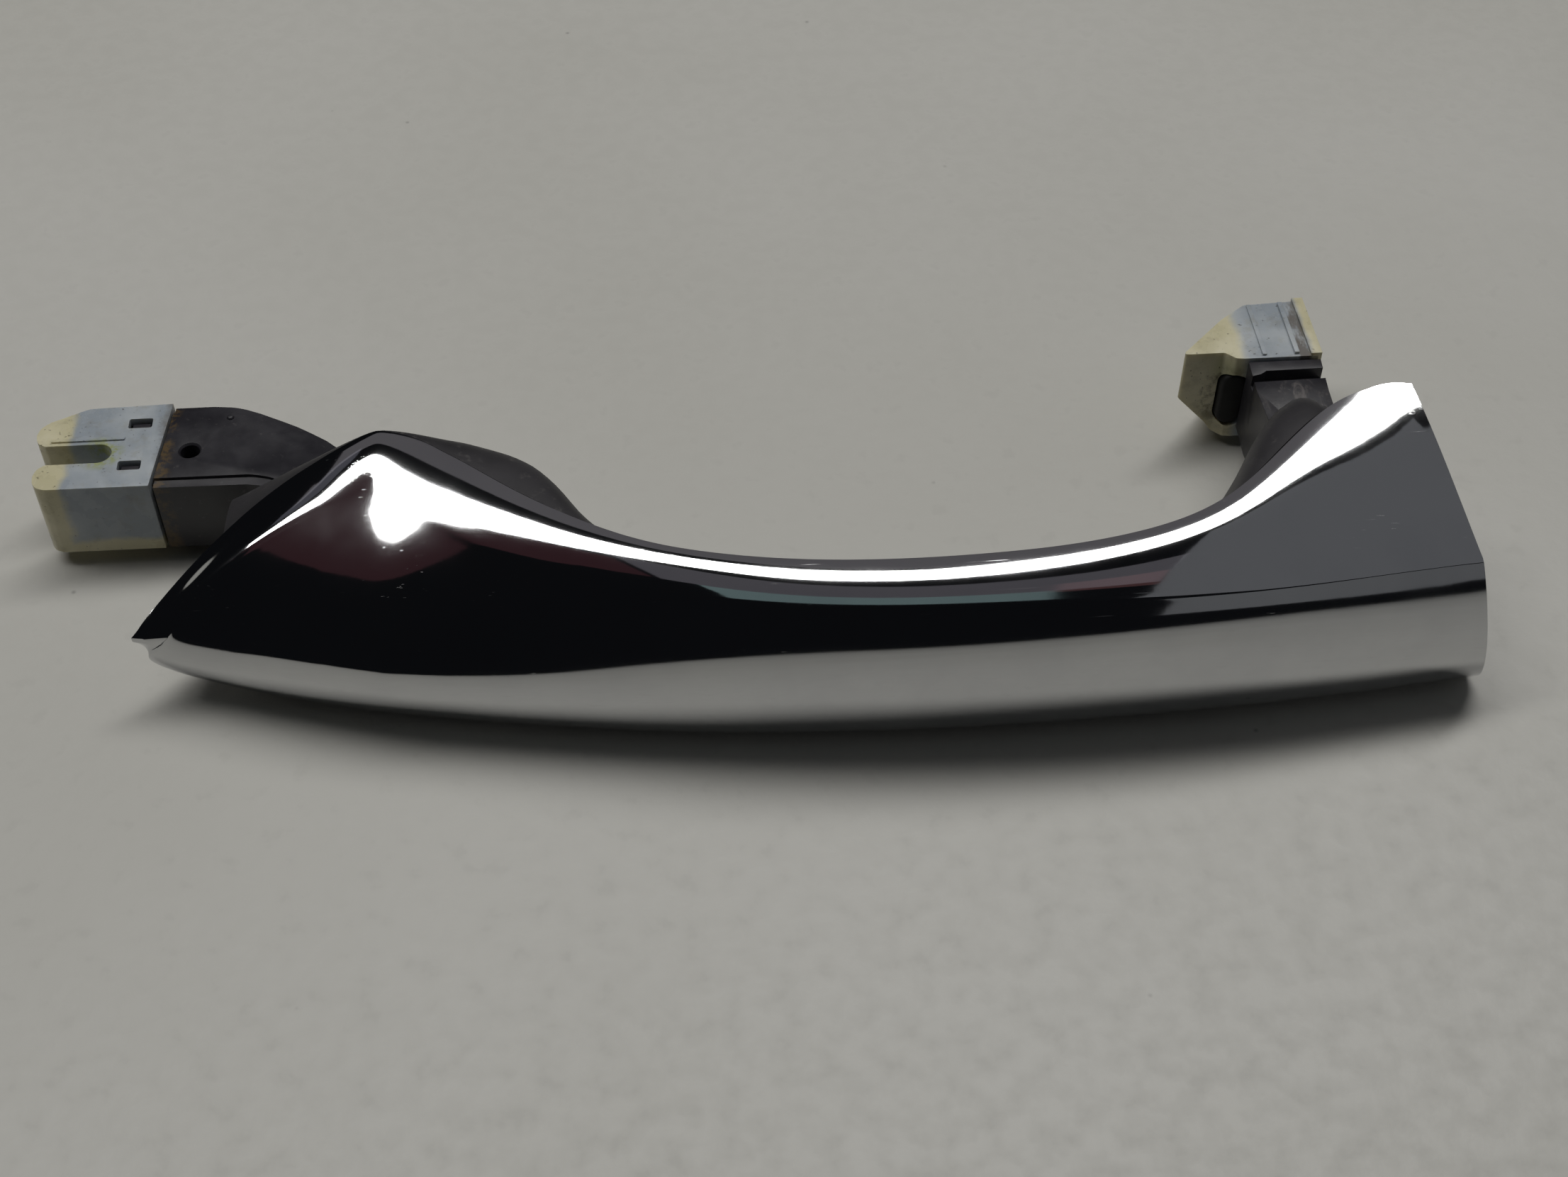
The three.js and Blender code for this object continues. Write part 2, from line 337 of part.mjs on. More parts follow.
// ---------------------------------------------------------------- hook sleeve and its plug
const blockOutline = [[175.9, 56.15], [183.2, 56.15], [184.8, 54.6], [186.3, 54.4], [199.2, 54.4], [198.4, 69.0], [189.0, 68.5], [184.4, 64.9]]
let hookSleeve = plate(blockOutline, BLOCK_Z0, BLOCK_Z1, 0.4)
// the free end of the block is chamfered below
const wedge = new THREE.Shape([[170, -6], [186, -6], [183.4, 2.2], [181.7, 4.6], [176.0, 10.8], [170, 10.8]].map(([x, z]) => new THREE.Vector2(x, z)))
hookSleeve = hookSleeve.subtract(toSolid(new THREE.ExtrudeGeometry(wedge, { depth: 30, bevelEnabled: false }), new THREE.Matrix4().makeTranslation(0, 80, 0).multiply(new THREE.Matrix4().makeRotationX(Math.PI / 2))))
hookSleeve = hookSleeve.add(box(197.6, 199.5, 54.5, 69.3, 1.6, 20.7)) // edge flange
hookSleeve = hookSleeve.add(box(194.9, 195.7, 55, 68.4, 19, 20.7)) // ribs on the top face
hookSleeve = hookSleeve.add(box(189.4, 190.1, 55, 68.2, 19, 20.6))
hookSleeve = hookSleeve.subtract(box(188.5, 197.5, 50, 66.9, 4.3, 17.7))
const ovalPath = (w, h) => [...arcPoints(0, h / 2 - w / 2, w / 2, 0, 180, 9), ...arcPoints(0, -(h / 2 - w / 2), w / 2, 180, 360, 9)]
const oval = (w, h, y0, y1) => toSolid(new THREE.ExtrudeGeometry(new THREE.Shape(ovalPath(w, h).map(([a, b]) => new THREE.Vector2(a, b))), { depth: y1 - y0, bevelEnabled: false }),
  new THREE.Matrix4().makeTranslation(BUMPER.x, y1, BUMPER.z).multiply(new THREE.Matrix4().makeRotationX(Math.PI / 2)))
hookSleeve = hookSleeve.subtract(oval(BUMPER.w + 2 * GAP, BUMPER.h + 2 * GAP, 50, 56 + BUMPER.d))
const hookBumper = oval(BUMPER.w, BUMPER.h, 54.8, 56 + BUMPER.d - GAP)

// ---------------------------------------------------------------- screws
// Pan-head self-tapping screw along Y: head seat at y, shank of the given length towards -Y.
const screw = (x, z, y, length) => turnedY([[0, y - length], [0.5, y - length + 0.2], [SCREW_R, y - length + 2], [SCREW_R, y], [SCREW_HEAD_R, y], [SCREW_HEAD_R, y + SCREW_HEAD_H * 0.6], [SCREW_HEAD_R * 0.7, y + SCREW_HEAD_H], [1.1, y + SCREW_HEAD_H], [0.9, y + SCREW_HEAD_H - 1], [0, y + SCREW_HEAD_H - 1]], x, z, 18)

// ---------------------------------------------------------------- scene graph
const paint = (color, roughness, metalness) => new THREE.MeshStandardMaterial({ color, roughness, metalness })
const group = new THREE.Group()
function put(name, solid, material) {
  const mesh = new THREE.Mesh(toGeometry(solid), material)
  mesh.name = name
  group.add(mesh)
}
put('outer_shell', shell, paint(0xd4d6d8, 0.06, 1))
put('inner_cover', cover, paint(0x2b2a2d, 0.62, 0))
put('grip_beam', beam, paint(0x1c1c1e, 0.6, 0))
put('pivot_arm', pivotArm, paint(0x242327, 0.42, 0))
put('pivot_sleeve', pivotSleeve, paint(0xb4bcbd, 0.35, 0))
put('hook_arm', hookArm, paint(0x252428, 0.45, 0))
put('hook_sleeve', hookSleeve, paint(0xd0ccb0, 0.38, 0))
put('hook_bumper', hookBumper, paint(0x151515, 0.8, 0))
PIVOT_SCREWS.forEach(([x, z], i) => put(`pivot_arm_screw_${i + 1}`, screw(x, z, 25.1, 11), paint(0x8d9094, 0.35, 1)))
HOOK_SCREWS.forEach(([x, z], i) => put(`hook_arm_screw_${i + 1}`, screw(x, z, 24.9, 11), paint(0x8d9094, 0.35, 1)))
SHELL_SCREW_X.forEach((x, i) => put(`shell_screw_${i + 1}`, screw(x, MID_Z, frontInner(x) + 8.6, 7.6), paint(0x8d9094, 0.35, 1)))
COVER_SCREWS.forEach(([x, z], i) => put(`cover_screw_${i + 1}`, screw(x, z, DOOR_PLANE_Y - 0.9, 18), paint(0x2a2a2c, 0.4, 1)))

// origin: middle of the plan outline, on the surface the grip lies on
const extent = new THREE.Box3().setFromObject(group)
group.position.set(-(extent.min.x + extent.max.x) / 2, -(extent.min.y + extent.max.y) / 2, -extent.min.z)

export default group
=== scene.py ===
import bisect
import math

import bmesh
import bpy
from mathutils import Matrix, Vector


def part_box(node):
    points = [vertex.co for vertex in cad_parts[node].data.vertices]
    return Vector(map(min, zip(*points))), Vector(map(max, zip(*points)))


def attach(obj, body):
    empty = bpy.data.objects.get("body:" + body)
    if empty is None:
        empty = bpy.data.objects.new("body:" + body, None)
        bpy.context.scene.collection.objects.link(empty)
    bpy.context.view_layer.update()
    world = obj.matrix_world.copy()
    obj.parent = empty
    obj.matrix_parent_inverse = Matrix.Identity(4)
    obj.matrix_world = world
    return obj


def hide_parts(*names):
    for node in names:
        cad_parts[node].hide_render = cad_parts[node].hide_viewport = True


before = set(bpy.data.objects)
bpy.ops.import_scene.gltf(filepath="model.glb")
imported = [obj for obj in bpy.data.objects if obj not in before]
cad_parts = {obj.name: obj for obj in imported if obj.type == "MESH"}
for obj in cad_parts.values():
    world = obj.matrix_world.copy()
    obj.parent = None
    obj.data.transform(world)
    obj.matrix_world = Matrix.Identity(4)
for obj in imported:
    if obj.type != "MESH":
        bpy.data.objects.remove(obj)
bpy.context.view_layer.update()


# Everything below is drawn in the millimetres of the CAD part and moved into the row frame by
# this shift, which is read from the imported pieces.
_lo, _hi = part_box("pivot_sleeve")
OX = float(_lo.x) * 1000 + 16.2
_lo, _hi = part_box("pivot_arm")
OY = float(_hi.y) * 1000 - 58.5
MM = 0.001


def W(x, y, z):
    return Vector(((x + OX) * MM, (y + OY) * MM, z * MM))


# ------------------------------------------------------------------ camera
scene = bpy.context.scene
cam_data = bpy.data.cameras.new("camera")
cam_data.sensor_fit = "HORIZONTAL"
cam_data.sensor_width = 36
cam_data.lens = 3000 * 36 / 2212
cam_data.clip_start = 0.01
cam_data.clip_end = 50
cam = bpy.data.objects.new("camera", cam_data)
scene.collection.objects.link(cam)
cam.location = W(88.92, -216.04, 255.0)
cam.rotation_euler = (math.radians(43.5), 0, math.radians(-4))
scene.camera = cam

# ------------------------------------------------------------------ rails of the chromed skin
RIM_TOP = [[4.2, 8.6, 13.5], [5.5, 9.7, 14.5], [6.7, 10.9, 15.6], [10.6, 14.9, 18.0], [15.1, 19.0, 20.8], [19.6, 22.1, 23.6], [25.4, 25.3, 26.8], [31.2, 27.8, 29.5], [36.8, 29.9, 31.6], [40.5, 31.1, 32.8], [43.3, 31.7, 33.4], [48.1, 30.3, 33.4], [52.8, 27.9, 33.2], [57.4, 23.7, 32.9], [61.7, 19.5, 32.6], [68.2, 15.0, 32.2], [74.5, 11.0, 32.0], [82.8, 6.4, 31.8], [93.2, 3.5, 31.6], [103.5, 1.7, 31.4], [113.9, 0.7, 31.4], [124.3, 0.4, 31.4], [134.8, 0.5, 31.6], [145.4, 1.0, 31.8], [151.8, 1.8, 32.0], [156.2, 2.5, 32.2], [160.6, 3.5, 32.4], [165.0, 4.7, 32.7], [169.7, 6.7, 33.1], [174.3, 9.7, 33.6], [180.1, 15.5, 34.6], [185.7, 21.1, 35.3], [190.4, 25.3, 35.8], [193.7, 27.2, 36.1], [199.6, 28.4, 36.6], [203.9, 27.6, 36.8]]
CREASE_TOP = [[10.3, 7.5, 13.5], [12.1, 8.8, 16.5], [14.3, 10.6, 19.0], [18.5, 13.3, 22.2], [22.3, 15.1, 24.3], [26.1, 16.8, 26.0], [30.5, 18.5, 27.5], [35.2, 20.2, 28.8], [39.3, 21.3, 29.6], [42.9, 21.6, 30.2], [46.7, 18.9, 30.0], [50.1, 16.1, 29.8], [55.5, 12.4, 29.5], [61.7, 8.5, 29.3], [70.0, 4.2, 29.1], [79.2, 0.3, 29.0], [88.4, -2.7, 28.9], [97.5, -4.9, 28.8], [106.7, -6.4, 28.8], [115.8, -7.4, 28.8], [125.2, -7.9, 28.8], [137.4, -8.2, 28.8], [149.6, -8.1, 28.7], [162.0, -7.7, 28.5], [174.6, -6.7, 28.2], [187.5, -4.9, 27.9], [200.8, -3.0, 27.6], [208.7, -2.2, 27.4]]
CREASE_LOW = [[0, 10.3, 7.5, 13.5], [1, 7.6, 8.0, 12.0], [2.2, 6.4, 8.1, 10.2], [4, 6.6, 8.2, 8.5], [6.5, 8.6, 8.0, 6.9], [9.5, 11.6, 7.6, 5.6], [13.5, 15.8, 6.9, 4.3], [19, 21.3, 5.9, 3.2], [26, 28.2, 4.3, 2.4], [34.3, 35.4, 2.7, 2.0], [43, 43, 1.1, 1.8], [59.2, 59.2, -1.9, 1.8], [75, 75, -4.3, 1.8], [92, 92, -6.3, 1.8], [108, 108, -7.3, 1.8], [124.8, 124.8, -7.9, 1.8], [141, 141, -7.9, 1.8], [158, 158, -7.5, 1.9], [175, 176, -6.7, 2.0], [191.9, 195, -5.4, 2.2], [208, 213.2, -3.5, 2.4]]
RIM_LOW_Z = [[0, 13.5], [2, 10.6], [5, 8.2], [11, 5.2], [17, 3.0], [24, 1.3], [31, 0.4], [38, 0], [208, 0]]
ANGLE_RIM = [[0, 0], [15, 0], [30, 0], [43, 0], [62, 2], [90, 4], [135, 4], [170, 3], [188, 5], [200, 9], [208, 11]]
ANGLE_SHOULDER = [[0, 40], [12, 32], [24, 26], [43, 24], [62, 28], [80, 34], [105, 38], [140, 38], [165, 32], [185, 22], [208, 19]]
ANGLE_FACE = [[0, 55], [12, 38], [24, 26], [43, 25], [62, 32], [80, 42], [105, 50], [140, 54], [165, 57], [185, 58], [208, 60]]
FACE_LEAN = [[0, 0], [12, 0.2], [24, 0.7], [43, 1], [60, 0.9], [80, 0.5], [100, 0.15], [120, 0], [208, 0]]
COVER_BACK = [[14, 26], [18, 30.8], [22, 33.2], [26, 33.8], [55, 33.8], [60, 32.8], [64, 31.3], [67.5, 28.6], [71, 24.2], [75, 18.4], [79, 14.2], [84, 11.4], [93, 8.9], [104, 7.8], [114, 7.4], [124, 7.4], [135, 7.8], [146, 8.8], [157, 10.4], [165, 12.2], [170, 14.6], [175, 19.8], [180, 26.6], [184, 31.2], [188, 33.8], [192, 36], [196, 38], [208, 38]]
COVER_FULL = [[14, 0.8], [40, 0.95], [58, 1], [70, 0.95], [75, 0.6], [80, 0.2], [90, 0.05], [110, 0], [140, 0], [160, 0], [170, 0.1], [175, 0.5], [180, 0.9], [188, 1], [191.5, 0.7], [194, 0.15], [208, 0.1]]
GAP, SHELL_WALL, COVER_WALL, DOOR_Y, MID_Z = 0.3, 2.3, 2.2, 33.0, 15.6
ARM_Z0, ARM_Z1, HOOK_Z0, HOOK_Z1 = 2.9, 17.0, 5.0, 19.6
SLEEVE_Z0, SLEEVE_Z1, BLOCK_Z0, BLOCK_Z1 = 3.0, 17.3, 2.5, 20.2


def smooth(table):
    """A smooth curve through a table, read at a given first coordinate."""
    n, xs = len(table), [r[0] for r in table]
    slope = []
    for i in range(n):
        a, b = table[max(0, i - 1)], table[min(n - 1, i + 1)]
        slope.append([(b[k] - a[k]) / (b[0] - a[0]) for k in range(1, len(a))])

    def at(x):
        i = min(max(bisect.bisect_right(xs, x) - 1, 0), n - 2)
        a, b = table[i], table[i + 1]
        h = b[0] - a[0]
        t = min(1.0, max(0.0, (x - a[0]) / h))
        t2, t3 = t * t, t * t * t
        return [(2 * t3 - 3 * t2 + 1) * a[k] + (t3 - 2 * t2 + t) * h * slope[i][k - 1] + (-2 * t3 + 3 * t2) * b[k] + (t3 - t2) * h * slope[i + 1][k - 1] for k in range(1, len(a))]

    return at


rim_top_at, crease_top_at, crease_low_at = smooth(RIM_TOP), smooth(CREASE_TOP), smooth(CREASE_LOW)
rim_low_z_at, angle_rim_at, angle_shoulder_at, angle_face_at = smooth(RIM_LOW_Z), smooth(ANGLE_RIM), smooth(ANGLE_SHOULDER), smooth(ANGLE_FACE)
cover_back_at, cover_full_at, face_lean_at = smooth(COVER_BACK), smooth(COVER_FULL), smooth(FACE_LEAN)


def station_x(u, first, last):
    if u < 43:
        return first + (43 - first) * (u / 43)
    if u > 170:
        return 170 + (u - 170) * (last - 170) / 38
    return u


def rail(at, u, first, last):
    x = station_x(u, first, last)
    y, z = at(x)
    return [x, y, z]


# The rails are read every 0.5 mm and evened out along the grip, least at the nose, at the peak
# of the pivot foot and at the cut end, so that the plating reflects in clean bands.
U_STEP = 0.5
U_GRID = [i * U_STEP for i in range(int(208 / U_STEP) + 1)]


def even(values):
    n = len(values)
    out = []
    for i, u in enumerate(U_GRID):
        s = 5.5 * min(1.0, max(0.0, (u - 1) / 14)) * min(1.0, abs(u - 43) / 12 + 0.10) * min(1.0, (208 - u) / 8)
        if s < 0.3:
            out.append(list(values[i]))
            continue
        r = int(3 * s / U_STEP)
        acc, tot = [0.0] * len(values[0]), 0.0
        for j in range(i - r, i + r + 1):
            q = min(max(j, 0), n - 1)
            # beyond the ends the curve goes straight on
            w = math.exp(-0.5 * ((j - i) * U_STEP / s) ** 2)
            v = values[q]
            if j < 0:
                v = [2 * a - b for a, b in zip(values[0], values[-j])]
            elif j > n - 1:
                v = [2 * a - b for a, b in zip(values[-1], values[2 * (n - 1) - j])]
            for k in range(len(acc)):
                acc[k] += w * v[k]
            tot += w
        out.append([a / tot for a in acc])
    return out


def grid_rail(f):
    vals = even([f(u) for u in U_GRID])

    def at(u):
        t = min(max(u / U_STEP, 0), len(U_GRID) - 1.000001)
        i = int(t)
        f_ = t - i
        return [a + (b - a) * f_ for a, b in zip(vals[i], vals[i + 1])]

    return at


rim_top = grid_rail(lambda u: rail(rim_top_at, u, 4.2, 203.9))
crease_top = grid_rail(lambda u: rail(crease_top_at, u, 10.3, 208.7))
crease_low = grid_rail(lambda u: crease_low_at(u))
rim_low_z = grid_rail(lambda u: [max(0.0, rim_low_z_at(u)[0])])
angles = grid_rail(lambda u: [angle_rim_at(u)[0], angle_shoulder_at(u)[0], angle_face_at(u)[0], face_lean_at(u)[0]])


def rim_low(u):
    p = rim_top(u)
    return [station_x(u, 4.2, 211.2), p[1], max(0.0, rim_low_z(u)[0])]


def bezier(a, b, n0, n1, count, lean=0.0, bias=1.0):
    r = math.pi / 180
    chord = math.hypot(b[1] - a[1], b[2] - a[2])
    turn = max(8, abs(n1 - n0)) * r
    f = (4 / 3) * math.tan(turn / 4) / (2 * math.sin(turn / 2)) * chord
    fa, fb = f * (1 - 0.35 * lean), f * (1 + 0.5 * lean)
    c0 = (a[1] - math.cos(n0 * r) * fa, a[2] - math.sin(n0 * r) * fa)
    c1 = (b[1] + math.cos(n1 * r) * fb, b[2] + math.sin(n1 * r) * fb)
    pts = []
    for i in range(count + 1):
        t = (i / count) ** bias
        s = 1 - t
        pts.append([a[0] + (b[0] - a[0]) * t,
                    s ** 3 * a[1] + 3 * s * s * t * c0[0] + 3 * s * t * t * c1[0] + t ** 3 * b[1],
                    s ** 3 * a[2] + 3 * s * s * t * c0[1] + 3 * s * t * t * c1[1] + t ** 3 * b[2]])
    return pts


N_BAND, N_FACE, N_LOW = 30, 56, 16


def skin_outline(u):
    """Rim, shoulder band, crease, face, lower edge, underside, lower rim at a station."""
    rt, ct, cb, rb = rim_top(u), crease_top(u), crease_low(u), rim_low(u)
    a_rim, a_sh, a_face, lean = angles(u)
    nose = max(0.0, min(1.0, u / 16))
    band = bezier(rt, ct, a_rim, a_sh, N_BAND)
    face = bezier(ct, cb, a_face, 90 + 40 * nose + (1 - nose) * 30, N_FACE, lean, 1.15)
    chord = max(1e-6, math.hypot(rb[1] - cb[1], rb[2] - cb[2]))
    run = min(chord, 6)
    low = []
    for i in range(N_LOW + 1):
        d = chord if i == N_LOW else run * i / (N_LOW - 1)
        t = d / chord
        low.append([cb[0] + (rb[0] - cb[0]) * t, cb[1] + (rb[1] - cb[1]) * t, rb[2] + (cb[2] - rb[2]) * max(0.0, 1 - d / run) ** 2])
    p = band + face[1:] + low[1:]
    # the crease and the lower edge are slightly rounded, as plating over moulded plastic is
    for k, reach, passes in ((N_BAND, 5, 5), (N_BAND + N_FACE, 5, 6)):
        for _ in range(passes):
            q = [list(v) for v in p]
            for i in range(k - reach, k + reach + 1):
                for c in (1, 2):
                    q[i][c] = 0.25 * p[i - 1][c] + 0.5 * p[i][c] + 0.25 * p[i + 1][c]
            p = q
    return p


def inset(points, d):
    out = []
    for i, p in enumerate(points):
        a, b = points[max(0, i - 1)], points[min(len(points) - 1, i + 1)]
        ty, tz = b[1] - a[1], b[2] - a[2]
        l = max(1e-9, math.hypot(ty, tz))
        out.append([p[0], p[1] - tz / l * d, p[2] + ty / l * d])
    return out


def unfold(p):
    k = min(range(len(p)), key=lambda i: p[i][1])
    for i in range(k - 1, -1, -1):
        p[i][1], p[i][2] = max(p[i][1], p[i + 1][1]), max(p[i][2], p[i + 1][2])
    for i in range(k + 1, len(p)):
        p[i][1], p[i][2] = max(p[i][1], p[i - 1][1]), min(p[i][2], p[i - 1][2])
    return p


# ------------------------------------------------------------------ mesh helpers
def new_object(name, verts, faces, smooth_angle=None):
    me = bpy.data.meshes.new(name)
    me.from_pydata([W(*v) for v in verts], [], faces)
    me.validate()
    bm = bmesh.new()
    bm.from_mesh(me)
    bmesh.ops.remove_doubles(bm, verts=bm.verts, dist=2e-7)
    bmesh.ops.dissolve_degenerate(bm, edges=bm.edges, dist=1e-7)
    bmesh.ops.recalc_face_normals(bm, faces=bm.faces)
    bm.to_mesh(me)
    bm.free()
    o = bpy.data.objects.new(name, me)
    scene.collection.objects.link(o)
    if smooth_angle is not None:
        shade(o, smooth_angle)
    return o


def shade(o, angle):
    for p in o.data.polygons:
        p.use_smooth = True
    o.data.set_sharp_from_angle(angle=math.radians(angle))


def bake(o):
    """Applies the modifiers on o."""
    bpy.context.view_layer.update()
    dg = bpy.context.evaluated_depsgraph_get()
    me = bpy.data.meshes.new_from_object(o.evaluated_get(dg))
    o.modifiers.clear()
    old = o.data
    o.data = me
    bpy.data.meshes.remove(old)


def cut(o, *tools, op="DIFFERENCE"):
    for t in tools:
        m = o.modifiers.new("cut", "BOOLEAN")
        m.operation = op
        m.solver = "EXACT"
        m.object = t
    bake(o)
    for t in tools:
        me = t.data
        bpy.data.objects.remove(t)
        bpy.data.meshes.remove(me)


def bevel(o, width, segments=3, angle=28):
    m = o.modifiers.new("round", "BEVEL")
    m.width = width * MM
    m.segments = segments
    m.limit_method = "ANGLE"
    m.angle_limit = math.radians(angle)
    m.harden_normals = False
    m.use_clamp_overlap = True
    bake(o)


def ring_loft(name, rings, smooth_angle=None):
    n = len(rings[0])
    verts = [v for r in rings for v in r]
    faces = []
    for s in range(len(rings) - 1):
        for i in range(n):
            a, b = s * n + i, s * n + (i + 1) % n
            faces.append((a, a + n, b + n, b))
    faces.append(tuple(range(n - 1, -1, -1)))
    faces.append(tuple((len(rings) - 1) * n + i for i in range(n)))
    return new_object(name, verts, faces, smooth_angle)


def prism(name, outline, z0, z1):
    n = len(outline)
    verts = [(x, y, z0) for x, y in outline] + [(x, y, z1) for x, y in outline]
    faces = [tuple(range(n - 1, -1, -1)), tuple(range(n, 2 * n))]
    faces += [(i, (i + 1) % n, n + (i + 1) % n, n + i) for i in range(n)]
    return new_object(name, verts, faces)


def block(name, x0, x1, y0, y1, z0, z1):
    return prism(name, [(x0, y0), (x1, y0), (x1, y1), (x0, y1)], z0, z1)


def round_corners(outline, radii, steps=6):
    """Outline with its corners rounded; radii is one number or one for each corner."""
    n, out = len(outline), []
    for i in range(n):
        p, a, b = Vector(outline[i]), Vector(outline[i - 1]), Vector(outline[(i + 1) % n])
        r = radii if isinstance(radii, (int, float)) else radii[i]
        da, db = (a - p), (b - p)
        la, lb = da.length, db.length
        if r <= 0 or la < 1e-6 or lb < 1e-6:
            out.append(tuple(p))
            continue
        da.normalize(), db.normalize()
        half = 0.5 * math.acos(max(-1, min(1, da.dot(db))))
        if half > math.radians(86):
            out.append(tuple(p))
            continue
        t = min(r / math.tan(half), 0.45 * la, 0.45 * lb)
        s, e = p + da * t, p + db * t
        for k in range(steps + 1):
            w = k / steps
            q = s * (1 - w) ** 2 + p * 2 * w * (1 - w) + e * w * w
            out.append(tuple(q))
    return out


def arc_points(cx, cy, r, a0, a1, n):
    return [(cx + r * math.cos(math.radians(a0 + (a1 - a0) * i / n)), cy + r * math.sin(math.radians(a0 + (a1 - a0) * i / n))) for i in range(n + 1)]


def turned(name, profile, cx, cy, axis="Z", segments=40):
    """Solid of revolution: profile is [(radius, height)], closed on its axis."""
    verts, faces = [], []
    for r, h in profile:
        for k in range(segments):
            a = 2 * math.pi * k / segments
            u, v = r * math.cos(a), r * math.sin(a)
            verts.append((cx + u, cy + v, h) if axis == "Z" else (cx + u, h, cy + v))
    m = len(profile)
    for j in range(m - 1):
        for k in range(segments):
            a, b = j * segments + k, j * segments + (k + 1) % segments
            faces.append((a, b, b + segments, a + segments))
    faces.append(tuple(range(segments - 1, -1, -1)))
    faces.append(tuple((m - 1) * segments + k for k in range(segments)))
    return new_object(name, verts, faces)


# ------------------------------------------------------------------ node helpers
class Mat:
    """A small helper around one procedural material."""

    def __init__(self, name):
        self.m = bpy.data.materials.new(name)
        self.m.use_nodes = True
        self.t = self.m.node_tree
        self.b = self.t.nodes["Principled BSDF"]
        self.coord = self.t.nodes.new("ShaderNodeTexCoord").outputs["Object"]

    def node(self, kind, **inputs):
        n = self.t.nodes.new(kind)
        for k, v in inputs.items():
            self.put(n.inputs[k.replace("_", " ")], v)
        return n

    def put(self, socket, v):
        if isinstance(v, bpy.types.NodeSocket):
            self.t.links.new(v, socket)
        else:
            socket.default_value = v

    def set(self, **inputs):
        for k, v in inputs.items():
            self.put(self.b.inputs[k.replace("_", " ")], v)

    def scaled(self, sx, sy, sz, rot=(0, 0, 0)):
        n = self.t.nodes.new("ShaderNodeMapping")
        self.t.links.new(self.coord, n.inputs["Vector"])
        n.inputs["Rotation"].default_value = rot
        n.inputs["Scale"].default_value = (sx, sy, sz)
        return n.outputs["Vector"]

    def noise(self, scale, detail=4, rough=0.55, vec=None, distortion=0.0):
        n = self.t.nodes.new("ShaderNodeTexNoise")
        self.t.links.new(vec or self.coord, n.inputs["Vector"])
        n.inputs["Scale"].default_value = scale
        n.inputs["Detail"].default_value = detail
        n.inputs["Roughness"].default_value = rough
        n.inputs["Distortion"].default_value = distortion
        return n.outputs["Fac"]

    def voronoi(self, scale, vec=None, feature="F1"):
        n = self.t.nodes.new("ShaderNodeTexVoronoi")
        n.feature = feature
        self.t.links.new(vec or self.coord, n.inputs["Vector"])
        n.inputs["Scale"].default_value = scale
        return n.outputs["Distance"]

    def math(self, op, a, b=0.0, clamp=False):
        n = self.t.nodes.new("ShaderNodeMath")
        n.operation = op
        n.use_clamp = clamp
        self.put(n.inputs[0], a)
        self.put(n.inputs[1], b)
        return n.outputs[0]

    def step(self, v, lo, hi, out_lo=0.0, out_hi=1.0):
        n = self.t.nodes.new("ShaderNodeMapRange")
        n.interpolation_type = "SMOOTHSTEP"
        self.put(n.inputs["Value"], v)
        n.inputs["From Min"].default_value = lo
        n.inputs["From Max"].default_value = hi
        n.inputs["To Min"].default_value = out_lo
        n.inputs["To Max"].default_value = out_hi
        return n.outputs["Result"]

    def mix(self, fac, a, b):
        n = self.t.nodes.new("ShaderNodeMix")
        n.data_type = "RGBA"
        self.put(n.inputs[0], fac)
        self.put(n.inputs[6], a)
        self.put(n.inputs[7], b)
        return n.outputs[2]

    def axis(self, which):
        """The coordinate along one CAD axis, in millimetres of the CAD part."""
        n = self.t.nodes.new("ShaderNodeSeparateXYZ")
        self.t.links.new(self.coord, n.inputs[0])
        off = {"X": OX, "Y": OY, "Z": 0.0}[which]
        v = self.math("MULTIPLY", n.outputs[which], 1000.0)
        return self.math("SUBTRACT", v, off)

    def near(self, x, y, z, r0, r1):
        """1 within r0 mm of a point of the CAD part, 0 beyond r1 mm."""
        n = self.t.nodes.new("ShaderNodeVectorMath")
        n.operation = "DISTANCE"
        self.t.links.new(self.coord, n.inputs[0])
        n.inputs[1].default_value = W(x, y, z)
        return self.step(n.outputs["Value"], r0 * MM, r1 * MM, 1.0, 0.0)

    def bump(self, height, strength, distance_mm, normal=None):
        n = self.t.nodes.new("ShaderNodeBump")
        n.inputs["Strength"].default_value = strength
        n.inputs["Distance"].default_value = distance_mm * MM
        self.put(n.inputs["Height"], height)
        if normal is not None:
            self.put(n.inputs["Normal"], normal)
        return n.outputs["Normal"]


def rgb(r, g, b):
    """Display values 0..255 as a linear colour."""
    f = lambda c: ((c / 255) / 12.92 if c <= 10 else ((c / 255 + 0.055) / 1.055) ** 2.4)
    return (f(r), f(g), f(b), 1)


